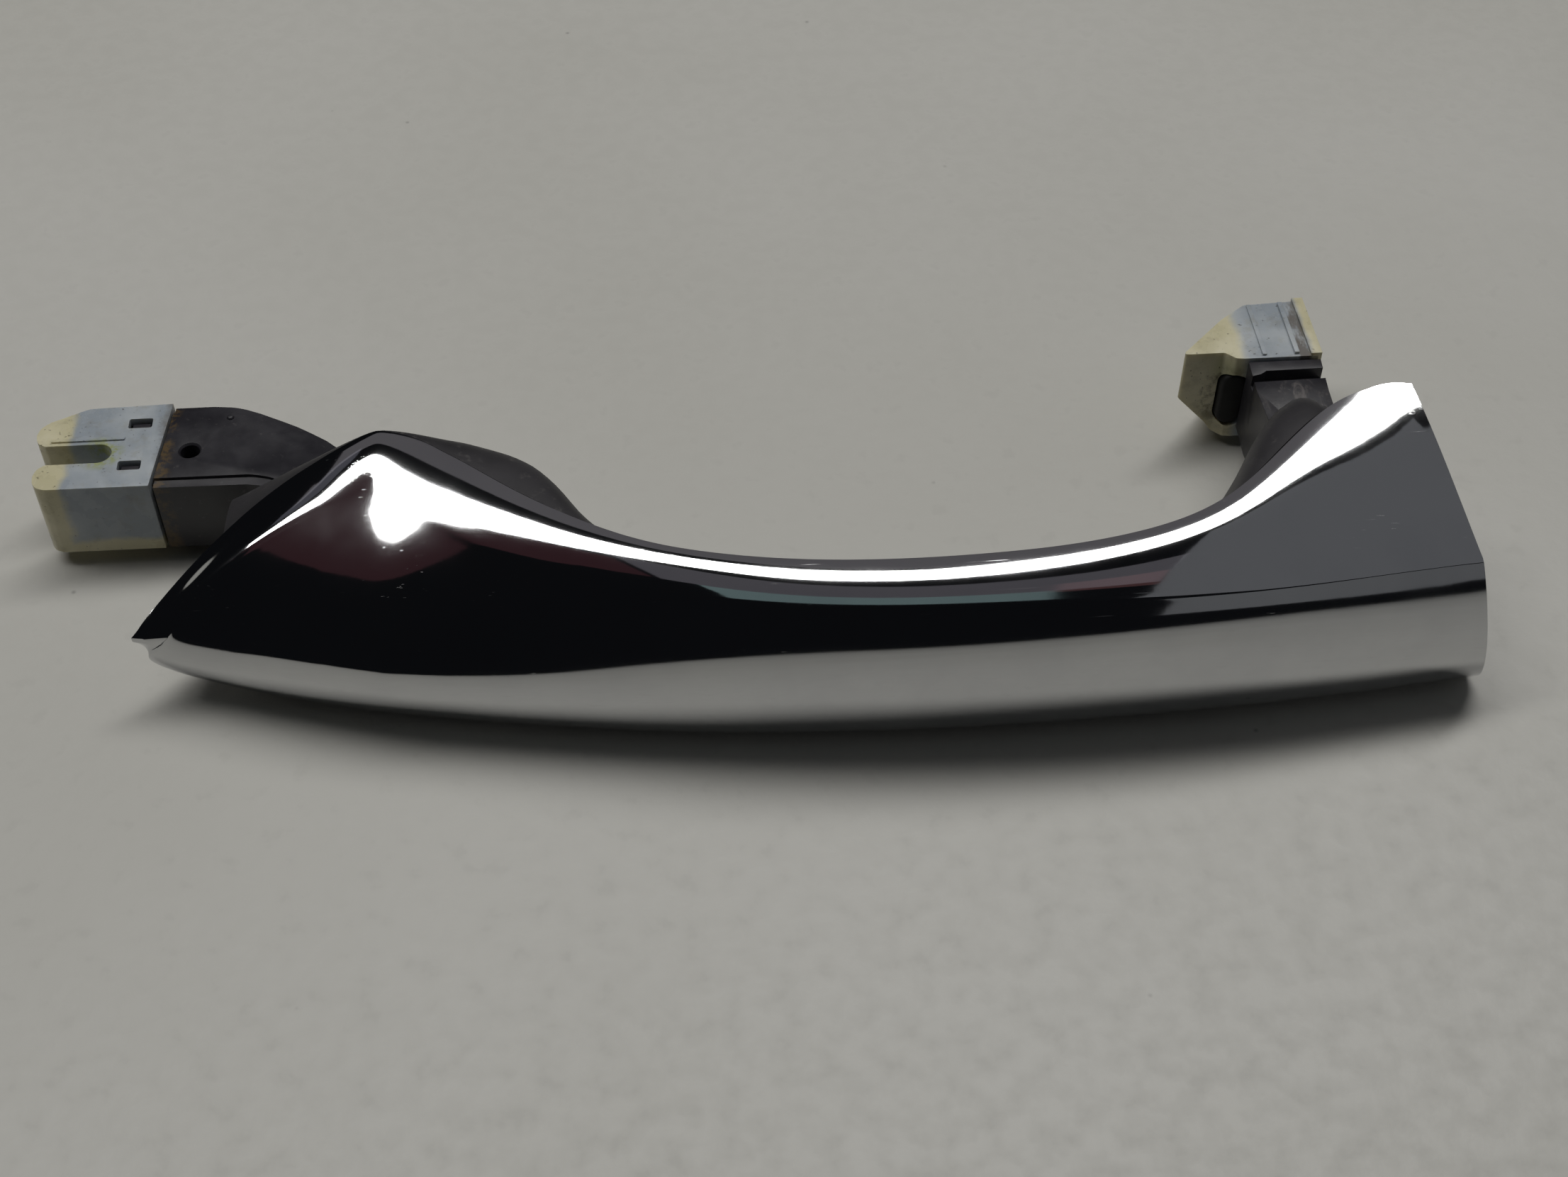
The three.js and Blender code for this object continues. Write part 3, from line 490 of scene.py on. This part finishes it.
def chrome_material():
    m = Mat("chrome_plate")
    # wiping haze in wide soft clouds, and fine scratches in three directions
    haze = m.noise(38, 5, 0.6)
    base = m.mix(m.step(haze, 0.35, 0.75), (0.60, 0.605, 0.615, 1), (0.54, 0.545, 0.56, 1))
    hair = None
    for rot, sx, sy, lo in (((0, 0, 0.5), 30, 2600, 0.71), ((0.3, 0, -0.7), 40, 2300, 0.72), ((0, 0.4, 1.3), 26, 2900, 0.725)):
        s = m.noise(1.0, 2, 0.5, m.scaled(sx, sy, sy, rot))
        k = m.step(s, lo, lo + 0.04)
        hair = k if hair is None else m.math("MAXIMUM", hair, k)
    patch = m.step(m.noise(85, 2, 0.5), 0.5, 0.62)
    hair = m.math("MULTIPLY", hair, patch)
    # the worn patch at the cut end and the dings at the peak of the pivot foot
    worn = m.math("MAXIMUM", m.math("MULTIPLY", m.near(203, 26.5, 36, 1.0, 5.0), 0.6), m.math("MULTIPLY", m.near(41, 25, 31.5, 0.8, 2.6), 0.8))
    pits = m.step(m.noise(1500, 3, 0.6), 0.56, 0.66)
    wear = m.math("MULTIPLY", worn, pits)
    col = m.mix(m.math("MULTIPLY", wear, 0.6), base, (0.42, 0.40, 0.40, 1))
    rough = m.math("ADD", m.step(haze, 0.3, 0.8, 0.035, 0.085), m.math("MULTIPLY", hair, 0.16))
    rough = m.math("ADD", rough, m.math("MULTIPLY", wear, 0.3), clamp=True)
    m.set(Base_Color=col, Metallic=1.0, Roughness=rough)
    n = m.bump(m.noise(260, 3, 0.5), 0.018, 0.2)
    n = m.bump(hair, 0.05, 0.02, n)
    n = m.bump(wear, 0.5, 0.05, n)
    m.set(Normal=n)
    return m.m


def cover_material():
    m = Mat("black_cover")
    grain = m.noise(2600, 3, 0.6)
    cloud = m.noise(55, 4, 0.55)
    dust = m.step(m.noise(420, 4, 0.7), 0.56, 0.72)
    base = m.mix(m.step(cloud, 0.3, 0.75), rgb(34, 33, 36), rgb(48, 46, 50))
    m.set(Base_Color=m.mix(m.math("MULTIPLY", dust, 0.35), base, rgb(96, 93, 92)), Roughness=m.step(cloud, 0.3, 0.8, 0.48, 0.66))
    m.b.inputs["Specular IOR Level"].default_value = 0.45
    m.set(Normal=m.bump(grain, 0.35, 0.04, m.bump(cloud, 0.1, 0.3)))
    return m.m


def arm_material():
    m = Mat("black_arm")
    grain = m.noise(3400, 3, 0.6)
    cloud = m.noise(90, 4, 0.6)
    x, y, z = m.axis("X"), m.axis("Y"), m.axis("Z")
    base = m.mix(m.step(cloud, 0.3, 0.75), rgb(33, 32, 37), rgb(47, 46, 51))
    # pale smears of dried grease on the hook arm and dusty streaks elsewhere
    smear = m.math("MULTIPLY", m.near(194, 44, 19.6, 3, 9), m.step(m.noise(260, 5, 0.7, m.scaled(1, 0.45, 1), 1.2), 0.5, 0.68))
    base = m.mix(m.math("MULTIPLY", smear, 0.5), base, rgb(118, 112, 110))
    dust = m.step(m.noise(700, 4, 0.75), 0.6, 0.75)
    base = m.mix(m.math("MULTIPLY", dust, 0.28), base, rgb(110, 107, 105))
    # brown grime where the arm runs into its sleeve
    grime = m.math("MULTIPLY", m.step(m.math("ABSOLUTE", m.math("SUBTRACT", x, 5.2)), 0.4, 2.2, 1, 0), m.step(m.noise(500, 4, 0.7), 0.42, 0.6))
    base = m.mix(m.math("MULTIPLY", grime, 0.75), base, rgb(92, 74, 44))
    scr = m.step(m.noise(1.0, 2, 0.5, m.scaled(60, 2500, 2500, (0, 0, 0.6))), 0.72, 0.76)
    rough = m.math("ADD", m.step(cloud, 0.3, 0.8, 0.32, 0.5), m.math("MULTIPLY", scr, 0.15))
    m.set(Base_Color=m.mix(m.math("MULTIPLY", scr, 0.3), base, rgb(88, 87, 90)), Roughness=rough)
    m.set(Normal=m.bump(grain, 0.28, 0.035, m.bump(cloud, 0.12, 0.3)))
    return m.m


def milky(name, cream_mask, grime_mask, grease_mask):
    m = Mat(name)
    cloud = m.noise(140, 4, 0.55)
    blue = m.mix(m.step(cloud, 0.3, 0.75), rgb(150, 158, 166), rgb(176, 182, 186))
    cream = m.mix(m.step(cloud, 0.3, 0.75), rgb(196, 190, 158), rgb(214, 208, 180))
    base = m.mix(cream_mask(m), blue, cream)
    stain = m.step(m.noise(330, 5, 0.7), 0.5, 0.68)
    base = m.mix(m.math("MULTIPLY", stain, 0.22), base, rgb(128, 118, 88))
    base = m.mix(grease_mask(m), base, rgb(150, 158, 84))
    g = grime_mask(m)
    base = m.mix(g, base, rgb(70, 54, 30))
    specks = m.math("MULTIPLY", m.step(m.noise(1300, 2, 0.5), 0.68, 0.74), 0.6)
    base = m.mix(specks, base, rgb(60, 50, 38))
    m.set(Base_Color=base, Roughness=m.math("ADD", m.step(cloud, 0.3, 0.8, 0.26, 0.4), m.math("MULTIPLY", g, 0.3)))
    m.b.inputs["Subsurface Weight"].default_value = 0.35
    m.b.inputs["Subsurface Radius"].default_value = (1.0, 0.9, 0.7)
    m.b.inputs["Subsurface Scale"].default_value = 0.0012
    m.set(Normal=m.bump(m.noise(900, 3, 0.6), 0.12, 0.05, m.bump(cloud, 0.12, 0.4)))
    return m.m


def pivot_sleeve_material():
    def cream(m):
        x, z = m.axis("X"), m.axis("Z")
        wob = m.math("MULTIPLY", m.math("SUBTRACT", m.noise(260, 3, 0.5), 0.5), 2.4)
        a = m.step(m.math("ADD", x, wob), -11.2, -9.4, 1, 0)
        b = m.step(m.math("ADD", z, wob), 4.6, 6.2, 1, 0)
        return m.math("MAXIMUM", a, b)

    def grime(m):
        x = m.axis("X")
        rim = m.step(m.math("SUBTRACT", x, m.math("MULTIPLY", m.noise(420, 4, 0.7), 4.5)), 1.0, 3.6)
        return m.math("MULTIPLY", rim, 0.6)

    def grease(m):
        a = m.near(-5.0, 47.2, 16.5, 2.2, 4.6)
        return m.math("MULTIPLY", m.math("MULTIPLY", a, m.step(m.noise(600, 4, 0.7), 0.4, 0.6)), 0.8)

    return milky("milky_pivot_sleeve", cream, grime, grease)


def hook_sleeve_material():
    def cream(m):
        x = m.axis("X")
        wob = m.math("MULTIPLY", m.math("SUBTRACT", m.noise(260, 3, 0.5), 0.5), 2.0)
        y = m.axis("Y")
        a = m.step(m.math("ADD", x, wob), 185.2, 187.6, 1, 0)
        b = m.step(m.math("ADD", x, wob), 197.2, 198.4)
        return m.math("MAXIMUM", a, b)

    def grime(m):
        ring = m.math("SUBTRACT", m.near(185.4, 54.6, 10.6, 5.2, 8.2), m.near(185.4, 54.6, 10.6, 1.0, 2.4))
        ring = m.math("MULTIPLY", m.math("MAXIMUM", ring, 0.0), m.step(m.noise(380, 4, 0.7), 0.4, 0.62))
        x, z = m.axis("X"), m.axis("Z")
        rib = m.math("MULTIPLY", m.math("MULTIPLY", m.step(x, 195.4, 196.0), m.step(x, 197.4, 198.0, 1, 0)), m.step(m.noise(300, 4, 0.7, m.scaled(1, 0.3, 1)), 0.42, 0.6))
        return m.math("MAXIMUM", m.math("MULTIPLY", ring, 0.6), m.math("MULTIPLY", rib, 0.75))

    def grease(m):
        return m.math("MULTIPLY", m.near(184.0, 55.5, 17.0, 1.0, 4.0), 0.35)

    return milky("milky_hook_sleeve", cream, grime, grease)


def plain(name, dark, light, rough, metallic=0.0, grain=2400.0):
    m = Mat(name)
    cloud = m.noise(160, 4, 0.6)
    m.set(Base_Color=m.mix(m.step(cloud, 0.3, 0.75), dark, light), Metallic=metallic, Roughness=m.step(cloud, 0.3, 0.8, rough - 0.08, rough + 0.1))
    m.set(Normal=m.bump(m.noise(grain, 3, 0.6), 0.25, 0.04))
    return m.m


def floor_material():
    m = Mat("painted_floor")
    peel = m.noise(240, 3, 0.5)
    fine = m.noise(1100, 3, 0.6)
    brush = m.noise(70, 4, 0.6, m.scaled(1, 0.6, 1, (0, 0, 0.5)))
    big = m.noise(7, 3, 0.5)
    base = m.mix(m.step(big, 0.3, 0.7), rgb(186, 185, 179), rgb(192, 191, 186))
    base = m.mix(m.math("MULTIPLY", m.step(peel, 0.58, 0.72), 0.10), base, rgb(150, 149, 145))
    speck = m.step(m.voronoi(55), 0.0, 0.035, 1, 0)
    base = m.mix(m.math("MULTIPLY", speck, 0.5), base, rgb(96, 94, 94))
    m.set(Base_Color=base, Roughness=m.step(peel, 0.35, 0.7, 0.46, 0.6))
    n = m.bump(peel, 0.32, 0.35)
    n = m.bump(brush, 0.25, 0.8, n)
    m.set(Normal=m.bump(fine, 0.25, 0.08, n))
    return m.m


CHROME, COVER, ARM = chrome_material(), cover_material(), arm_material()
PIVOT_MILK, HOOK_MILK = pivot_sleeve_material(), hook_sleeve_material()
RUBBER = plain("bumper_rubber", rgb(14, 14, 15), rgb(26, 25, 26), 0.7)
CORE = plain("core_plastic", rgb(24, 24, 26), rgb(34, 34, 36), 0.6)
ZINC = plain("zinc_screw", (0.36, 0.37, 0.38, 1), (0.46, 0.47, 0.48, 1), 0.34, 1.0)
BLACK_SCREW = plain("black_screw", (0.03, 0.03, 0.034, 1), (0.05, 0.05, 0.055, 1), 0.4, 1.0)


def piece(o, material, slot, *nodes):
    o.data.materials.clear()
    o.data.materials.append(material)
    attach(o, "root")
    if nodes:
        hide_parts(*nodes)
    return o


# ------------------------------------------------------------------ chromed skin
def hip_extra(u):
    return 2.6 * math.exp(-(((u - 43) / 6) ** 2)) + 1.4 * math.exp(-(((u - 66) / 12) ** 2)) + 1.2 * math.exp(-(((u - 24) / 10) ** 2)) + 0.8 * math.exp(-(((u - 186) / 12) ** 2))


def shell_ring(u):
    outer = skin_outline(u)
    n = len(outer)
    a, b = outer[0], outer[-1]
    if 14 <= u <= 203:
        grow = min(1.0, (u - 13.5) / 5.0, (203.5 - u) / 3.0)
        wall = SHELL_WALL + hip_extra(u) * 0.3
        inner = unfold(inset(outer, wall))
        for p in inner:
            p[1] = min(p[1], a[1] - 0.02)
        chord = [[a[c] + (b[c] - a[c]) * i / (n - 1) for c in range(3)] for i in range(n)]
        for i, p in enumerate(inner):
            q = chord[i]
            for c in (1, 2):
                p[c] = q[c] + (p[c] - q[c]) * grow
    else:
        inner = [[a[c] + (b[c] - a[c]) * (0.02 + 0.96 * i / (n - 1)) for c in range(3)] for i in range(n)]
    return outer + inner[::-1]


def stations():
    s, u = [], 0.35
    while u < 208:
        s.append(u)
        u += 0.4 if u < 8 else 0.7 if u < 30 else 0.55 if u < 60 else 0.9 if u < 160 else 0.8
    for extra in (13.98, 14.0, 203.0, 203.02, 208.0):
        s.append(extra)
    return sorted(set(round(v, 3) for v in s))


shell = ring_loft("chromed_skin", [shell_ring(u) for u in stations()], 40)
piece(shell, CHROME, "chrome_plate", "outer_shell")


# ------------------------------------------------------------------ black finger-side cover
def cover_ring(u, n=26):
    rt, rb = rim_top(u), rim_low(u)
    yb = cover_back_at(station_x(u, 14, 206))[0]
    full = min(1.0, max(0.0, cover_full_at(u)[0]))
    y0 = rt[1] + 1.9 * GAP
    zt, zb = rt[2] - 0.5 - 0.9 * (1 - full), rb[2] + 0.5 + 0.9 * (1 - full)
    back = min(max(yb, y0 + 1.2), DOOR_Y + 5)
    xm = (rt[0] + rb[0]) / 2
    k, h, drop = 0.2 + 0.76 * full, 0.3 + 0.42 * full, 0.22 * (1 - full)

    def quarter(z0, z1, x0, x1):
        out = []
        for i in range(n + 1):
            t = i / n
            s = 1 - t
            y = s ** 3 * y0 + 3 * s * s * t * (y0 + k * (back - y0)) + 3 * s * t * t * back + t ** 3 * back
            z = s ** 3 * z0 + 3 * s * s * t * (z0 - (0.02 + drop) * (z0 - z1)) + 3 * s * t * t * (z1 + h * (z0 - z1)) + t ** 3 * z1
            out.append([x0 + (x1 - x0) * t, y, z])
        return out

    up, down = quarter(zt, MID_Z, rt[0], xm), quarter(zb, MID_Z, rb[0], xm)
    ring = up + down[::-1][1:]
    # the rear of both feet is flat, with a soft turn into it
    for p in ring:
        over = p[1] - (DOOR_Y - 0.8)
        if over > 0:
            p[1] = DOOR_Y - 0.8 + 0.8 * (1 - math.exp(-over / 0.8))
    return ring


cover_st = [16, 17, 18, 19] + [20 + 1.2 * i for i in range(int((202.6 - 20) / 1.2) + 1)] + [203.2, 203.6]
cover = ring_loft("finger_side_cover", [cover_ring(u) for u in cover_st])
cut(cover,
    block("t1", 26.4, 45.2, 20, 40, 4.3, ARM_Z1 + GAP),
    block("t2", 186.2, 198.9, 20, 40, HOOK_Z0 - GAP - 0.1, HOOK_Z1 + GAP))
shade(cover, 35)
piece(cover, COVER, "black_cover", "inner_cover")

# ------------------------------------------------------------------ pivot arm
ARM_OUTLINE = [(4.3, 39.3), (19.5, 39.1), (22, 38.6), (24, 37.4), (25.8, 35.6), (26.8, 32.2), (44.8, 32.2), (44.4, 34.4), (41, 38.8), (38, 41.8), (34, 46.2), (31.6, 48.6), (29, 50.6), (26.5, 52.4), (24, 53.9), (20, 56.2), (17.5, 57.4), (15.5, 58.1), (12, 58.5), (5.7, 58.5)]
outline = round_corners(ARM_OUTLINE, [0, 6, 6, 5, 5, 0, 0, 8, 20, 20, 20, 20, 20, 20, 20, 20, 10, 10, 10, 0], 4)
arm = prism("pivot_arm_body", outline, ARM_Z0, ARM_Z1 - 0.55)
# low land on top, which leaves a fine step along the front and rear edges
land = [(4.3, 41.0), (20.0, 40.9), (23.3, 40.0), (25.9, 38.2), (28.0, 35.4), (28.9, 32.2), (43.2, 32.2), (42.6, 34.6), (39.6, 38.0), (36.6, 41.2), (32.8, 45.2), (30.4, 47.4), (28.0, 49.4), (25.5, 51.1), (23.2, 52.6), (19.4, 54.7), (17.0, 55.8), (15.2, 56.5), (12, 56.9), (5.6, 56.9)]
top = prism("t_land", round_corners(land, [0, 6, 6, 5, 5, 0, 0, 8, 20, 20, 20, 20, 20, 20, 20, 20, 10, 10, 10, 0], 4), ARM_Z0 + 2, ARM_Z1)
cut(arm, top, op="UNION")
cut(arm,
    turned("t_hole", [(1.6, ARM_Z1 - 11), (1.6, ARM_Z1 - 0.35), (2.0, ARM_Z1 + 0.1), (2.0, ARM_Z1 + 2)], 9.4, 47.3))
bevel(arm, 0.42, 3)
pip = turned("t_pip", [(0.62, ARM_Z1 - 0.3), (0.62, ARM_Z1 + 0.12), (0.45, ARM_Z1 + 0.3), (0.2, ARM_Z1 + 0.36)], 15.2, 55.0, segments=20)
cut(arm, pip, op="UNION")
shade(arm, 32)
piece(arm, ARM, "black_arm", "pivot_arm")

core = prism("pivot_arm_tongue", round_corners([(6.5, 41.1), (-9.4, 41.1), (-9.4, 43.2), (-4.2, 43.2), (-1.2, 44.9), (-0.4, 47.3), (-1.2, 49.6), (-4.2, 51.4), (-9.4, 51.4), (-9.4, 54.2), (-5.5, 55.9), (6.5, 55.9)], 0.3, 3), 3.9, 15.4)
cut(core, block("t_l1", -0.9, 2.0, 53.3, 54.9, 10, 16.5), block("t_l2", -1.4, 1.4, 43.2, 44.7, 10, 16.5), op="UNION")
bevel(core, 0.15, 2)
shade(core, 32)
piece(core, ARM, "black_arm")

# ------------------------------------------------------------------ milky sleeve of the pivot arm
slot = arc_points(-5.5, 47.25, 2.25, 270, 450, 18)
sleeve_outline = [(3.75, 39.0), (-12.9, 39.1), (-14.3, 39.6), (-15.1, 40.8), (-15.3, 42.4), (-14.9, 44.0), (-13.8, 45.0)] + slot + [(-14.4, 49.5), (-15.8, 50.4), (-16.2, 52.2), (-15.8, 54.0), (-14.4, 55.4), (-8.4, 58.4), (5.35, 58.8)]
ns = len(slot)
sleeve = prism("pivot_arm_sleeve", round_corners(sleeve_outline, [0, 2, 2, 2, 2, 2, 1] + [0] * ns + [1, 2, 2, 2, 2, 3, 0], 4), SLEEVE_Z0, SLEEVE_Z1)
cut(sleeve,
    prism("t_room", [(7, 40.7), (-9.8, 40.7), (-9.8, 43.6), (-4.3, 43.6), (-1.6, 45.1), (-0.9, 47.3), (-1.6, 49.4), (-4.3, 51.0), (-9.8, 51.0), (-9.8, 54.4), (-5.7, 56.3), (7, 56.3)], 3.5, 15.8),
    prism("t_w1", round_corners([(-1.4, 53.1), (2.5, 53.1), (2.5, 55.4), (-1.4, 55.4)], 0.4, 3), 12, 20),
    prism("t_w2", round_corners([(-1.9, 43.0), (1.9, 43.0), (1.9, 45.2), (-1.9, 45.2)], 0.4, 3), 12, 20))
bevel(sleeve, 0.45, 3)
rib = prism("t_rib", round_corners([(-13.5, 50.2), (-1.5, 50.2), (-1.5, 50.9), (-13.5, 50.9)], 0.25, 3), SLEEVE_Z1 - 0.6, SLEEVE_Z1 + 0.3)
cut(sleeve, rib, op="UNION")
shade(sleeve, 32)
piece(sleeve, PIVOT_MILK, "milky_sleeve", "pivot_sleeve")

# ------------------------------------------------------------------ hook arm
hook = prism("hook_arm_body", round_corners([(187.0, 31.8), (198.4, 31.8), (198.5, 38), (198.7, 46), (199.3, 54.1), (186.9, 54.1), (186.6, 47), (187.0, 37)], [0, 0, 10, 10, 0, 0, 10, 10], 4), HOOK_Z0, HOOK_Z1)
cut(hook,
    prism("t_groove", [(180, 48.85), (201, 49.3), (201, 51.8), (189.4, 51.7), (188.3, 50.9)], 17.4, 24),
    prism("t_tri", round_corners([(189.2, 41.4), (193.8, 41.4), (190.4, 38.9)], 0.3, 3), 18.1, 24))
cut(hook, block("t_core", 188.8, 197.2, 50, 66.6, 4.6, 17.4), op="UNION")
bevel(hook, 0.35, 3)
shade(hook, 32)
piece(hook, ARM, "black_arm", "hook_arm")

# ------------------------------------------------------------------ milky sleeve of the hook
hs = prism("hook_arm_sleeve", round_corners([(175.9, 56.15), (183.2, 56.15), (184.8, 54.6), (186.3, 54.4), (199.2, 54.4), (198.4, 69.0), (189.0, 68.5), (184.4, 64.9)], [0.5, 1, 1, 1, 0.3, 0.5, 1.2, 1.2], 4), BLOCK_Z0, BLOCK_Z1)
wn = [(170, -6), (186, -6), (183.4, 2.2), (181.7, 4.6), (176.0, 10.8), (170, 10.8)]
wedge = new_object("t_wedge", [(x, 40, z) for x, z in wn] + [(x, 80, z) for x, z in wn],
                   [tuple(range(6)), tuple(range(11, 5, -1))] + [(i, 6 + i, 6 + (i + 1) % 6, (i + 1) % 6) for i in range(6)])
cut(hs, wedge)
cut(hs, block("t_fl", 197.6, 199.5, 54.5, 69.3, 1.6, 20.7), op="UNION")
cut(hs, block("t_r1", 194.9, 195.7, 55, 68.4, 19, 20.7), op="UNION")
cut(hs, block("t_r2", 189.4, 190.1, 55, 68.2, 19, 20.55), op="UNION")
cut(hs, block("t_in", 188.5, 197.5, 50, 66.9, 4.3, 17.7))
BX, BZ, BW, BH, BD = 185.4, 10.6, 4.6, 11.0, 3.6


def oval(w, h, n=18):
    return arc_points(0, h / 2 - w / 2, w / 2, 0, 180, n) + arc_points(0, -(h / 2 - w / 2), w / 2, 180, 360, n)


def oval_solid(name, sections):
    rings = []
    for w, h, y in sections:
        rings.append([(BX + a, y, BZ + b) for a, b in oval(w, h)])
    return ring_loft(name, rings)


cut(hs, oval_solid("t_oval", [(BW + 0.6, BH + 0.6, 50), (BW + 0.6, BH + 0.6, 59.6)]))
bevel(hs, 0.25, 3)
shade(hs, 32)
piece(hs, HOOK_MILK, "milky_sleeve", "hook_sleeve")

bumper = oval_solid("hook_bumper_plug", [(BW - 1.5, BH - 1.5, 54.82), (BW - 0.7, BH - 0.7, 54.86), (BW - 0.2, BH - 0.2, 55.1), (BW, BH, 55.5), (BW, BH, 59.1), (BW - 0.2, BH - 0.2, 59.3)])
shade(bumper, 40)
piece(bumper, RUBBER, "bumper_rubber", "hook_bumper")

# ------------------------------------------------------------------ hidden pieces keep their CAD shape
for name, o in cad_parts.items():
    material = CORE if name == "grip_beam" else BLACK_SCREW if name.startswith("cover_screw") else ZINC if "screw" in name else None
    if material:
        if not o.material_slots:
            o.data.materials.append(material)
        for s in o.material_slots:
            s.material = material

# ------------------------------------------------------------------ floor
fl = bpy.data.meshes.new("floor")
R = 14.0
fl.from_pydata([(-R, -R, 0), (R, -R, 0), (R, R, 0), (-R, R, 0)], [], [(0, 1, 2, 3)])
floor = bpy.data.objects.new("floor", fl)
scene.collection.objects.link(floor)
fl.materials.append(floor_material())

# ------------------------------------------------------------------ light
world = bpy.data.worlds.new("studio")
scene.world = world
world.use_nodes = True
world.node_tree.nodes["Background"].inputs["Color"].default_value = (0.8, 0.85, 1.0, 1)
world.node_tree.nodes["Background"].inputs["Strength"].default_value = 0.006
scene.view_settings.view_transform = "Standard"
CENTRE = W(105, 5, 25)


def toward(elevation, tilt):
    """Direction: elevation is measured from +Y over the top towards -Y, tilt leans it towards +X."""
    e, a = math.radians(elevation), math.radians(tilt)
    return Vector((math.sin(a), math.cos(a) * math.cos(e), math.cos(a) * math.sin(e)))


def light(name, place, x_axis, y_axis, size_x, size_y, radiance, color):
    d = bpy.data.lights.new(name, "AREA")
    d.shape = "RECTANGLE"
    d.size, d.size_y, d.color = size_x, size_y, color
    d.energy = radiance * math.pi * size_x * size_y
    o = bpy.data.objects.new(name, d)
    scene.collection.objects.link(o)
    z = x_axis.cross(y_axis).normalized()
    o.matrix_world = Matrix.Translation(place) @ Matrix((x_axis, y_axis, z)).transposed().to_4x4()
    return o


def panel(name, e0, e1, a0, a1, radiance, color, distance=2.4):
    """A soft panel that fills a window of directions seen from the grip."""
    e, a = (e0 + e1) / 2, (a0 + a1) / 2
    v = toward(e, a)
    y = Vector((0, -math.sin(math.radians(e)), math.cos(math.radians(e))))
    x = y.cross(v).normalized()
    y = v.cross(x).normalized()
    w = 2 * distance * math.tan(math.radians(a1 - a0) / 2)
    h = 2 * distance * math.tan(math.radians(e1 - e0) / 2) * math.cos(math.radians(a))
    return light(name, CENTRE + v * distance, x, y, w, h, radiance, color)


# narrow key light overhead and slightly behind
turn = math.radians(20)
light("key_strip", CENTRE + Vector((-0.10, 0.455, 1.5)), Vector((math.cos(turn), math.sin(turn), 0)), Vector((-math.sin(turn), math.cos(turn), 0)), 2.3, 0.30, 9.5, (1.0, 0.99, 0.965))
# soft grey panels: behind, overhead to the right, and faint tinted ones
panel("rear_wall", 45, 63, -34, 34, 0.11, (1.0, 0.95, 1.0))
panel("ceiling_right", 66, 128, 18.5, 62, 0.125, (0.93, 0.95, 1.0))
panel("wall_right", 128, 178, 20, 70, 0.115, (0.95, 0.97, 1.0))
panel("ceiling_mid", 84, 101, -16, 18.5, 0.085, (0.95, 0.9, 1.0))
panel("ceiling_teal", 101, 114, -12, 12, 0.16, (0.72, 1.0, 1.0))
panel("red_right", 93, 104, 12, 18.5, 0.06, (1.0, 0.45, 0.45))
panel("red_left", 86, 101, -36, -17, 0.03, (1.0, 0.35, 0.42))
panel("lavender_left", 60, 72, -36, -29, 0.09, (0.85, 0.85, 1.0))
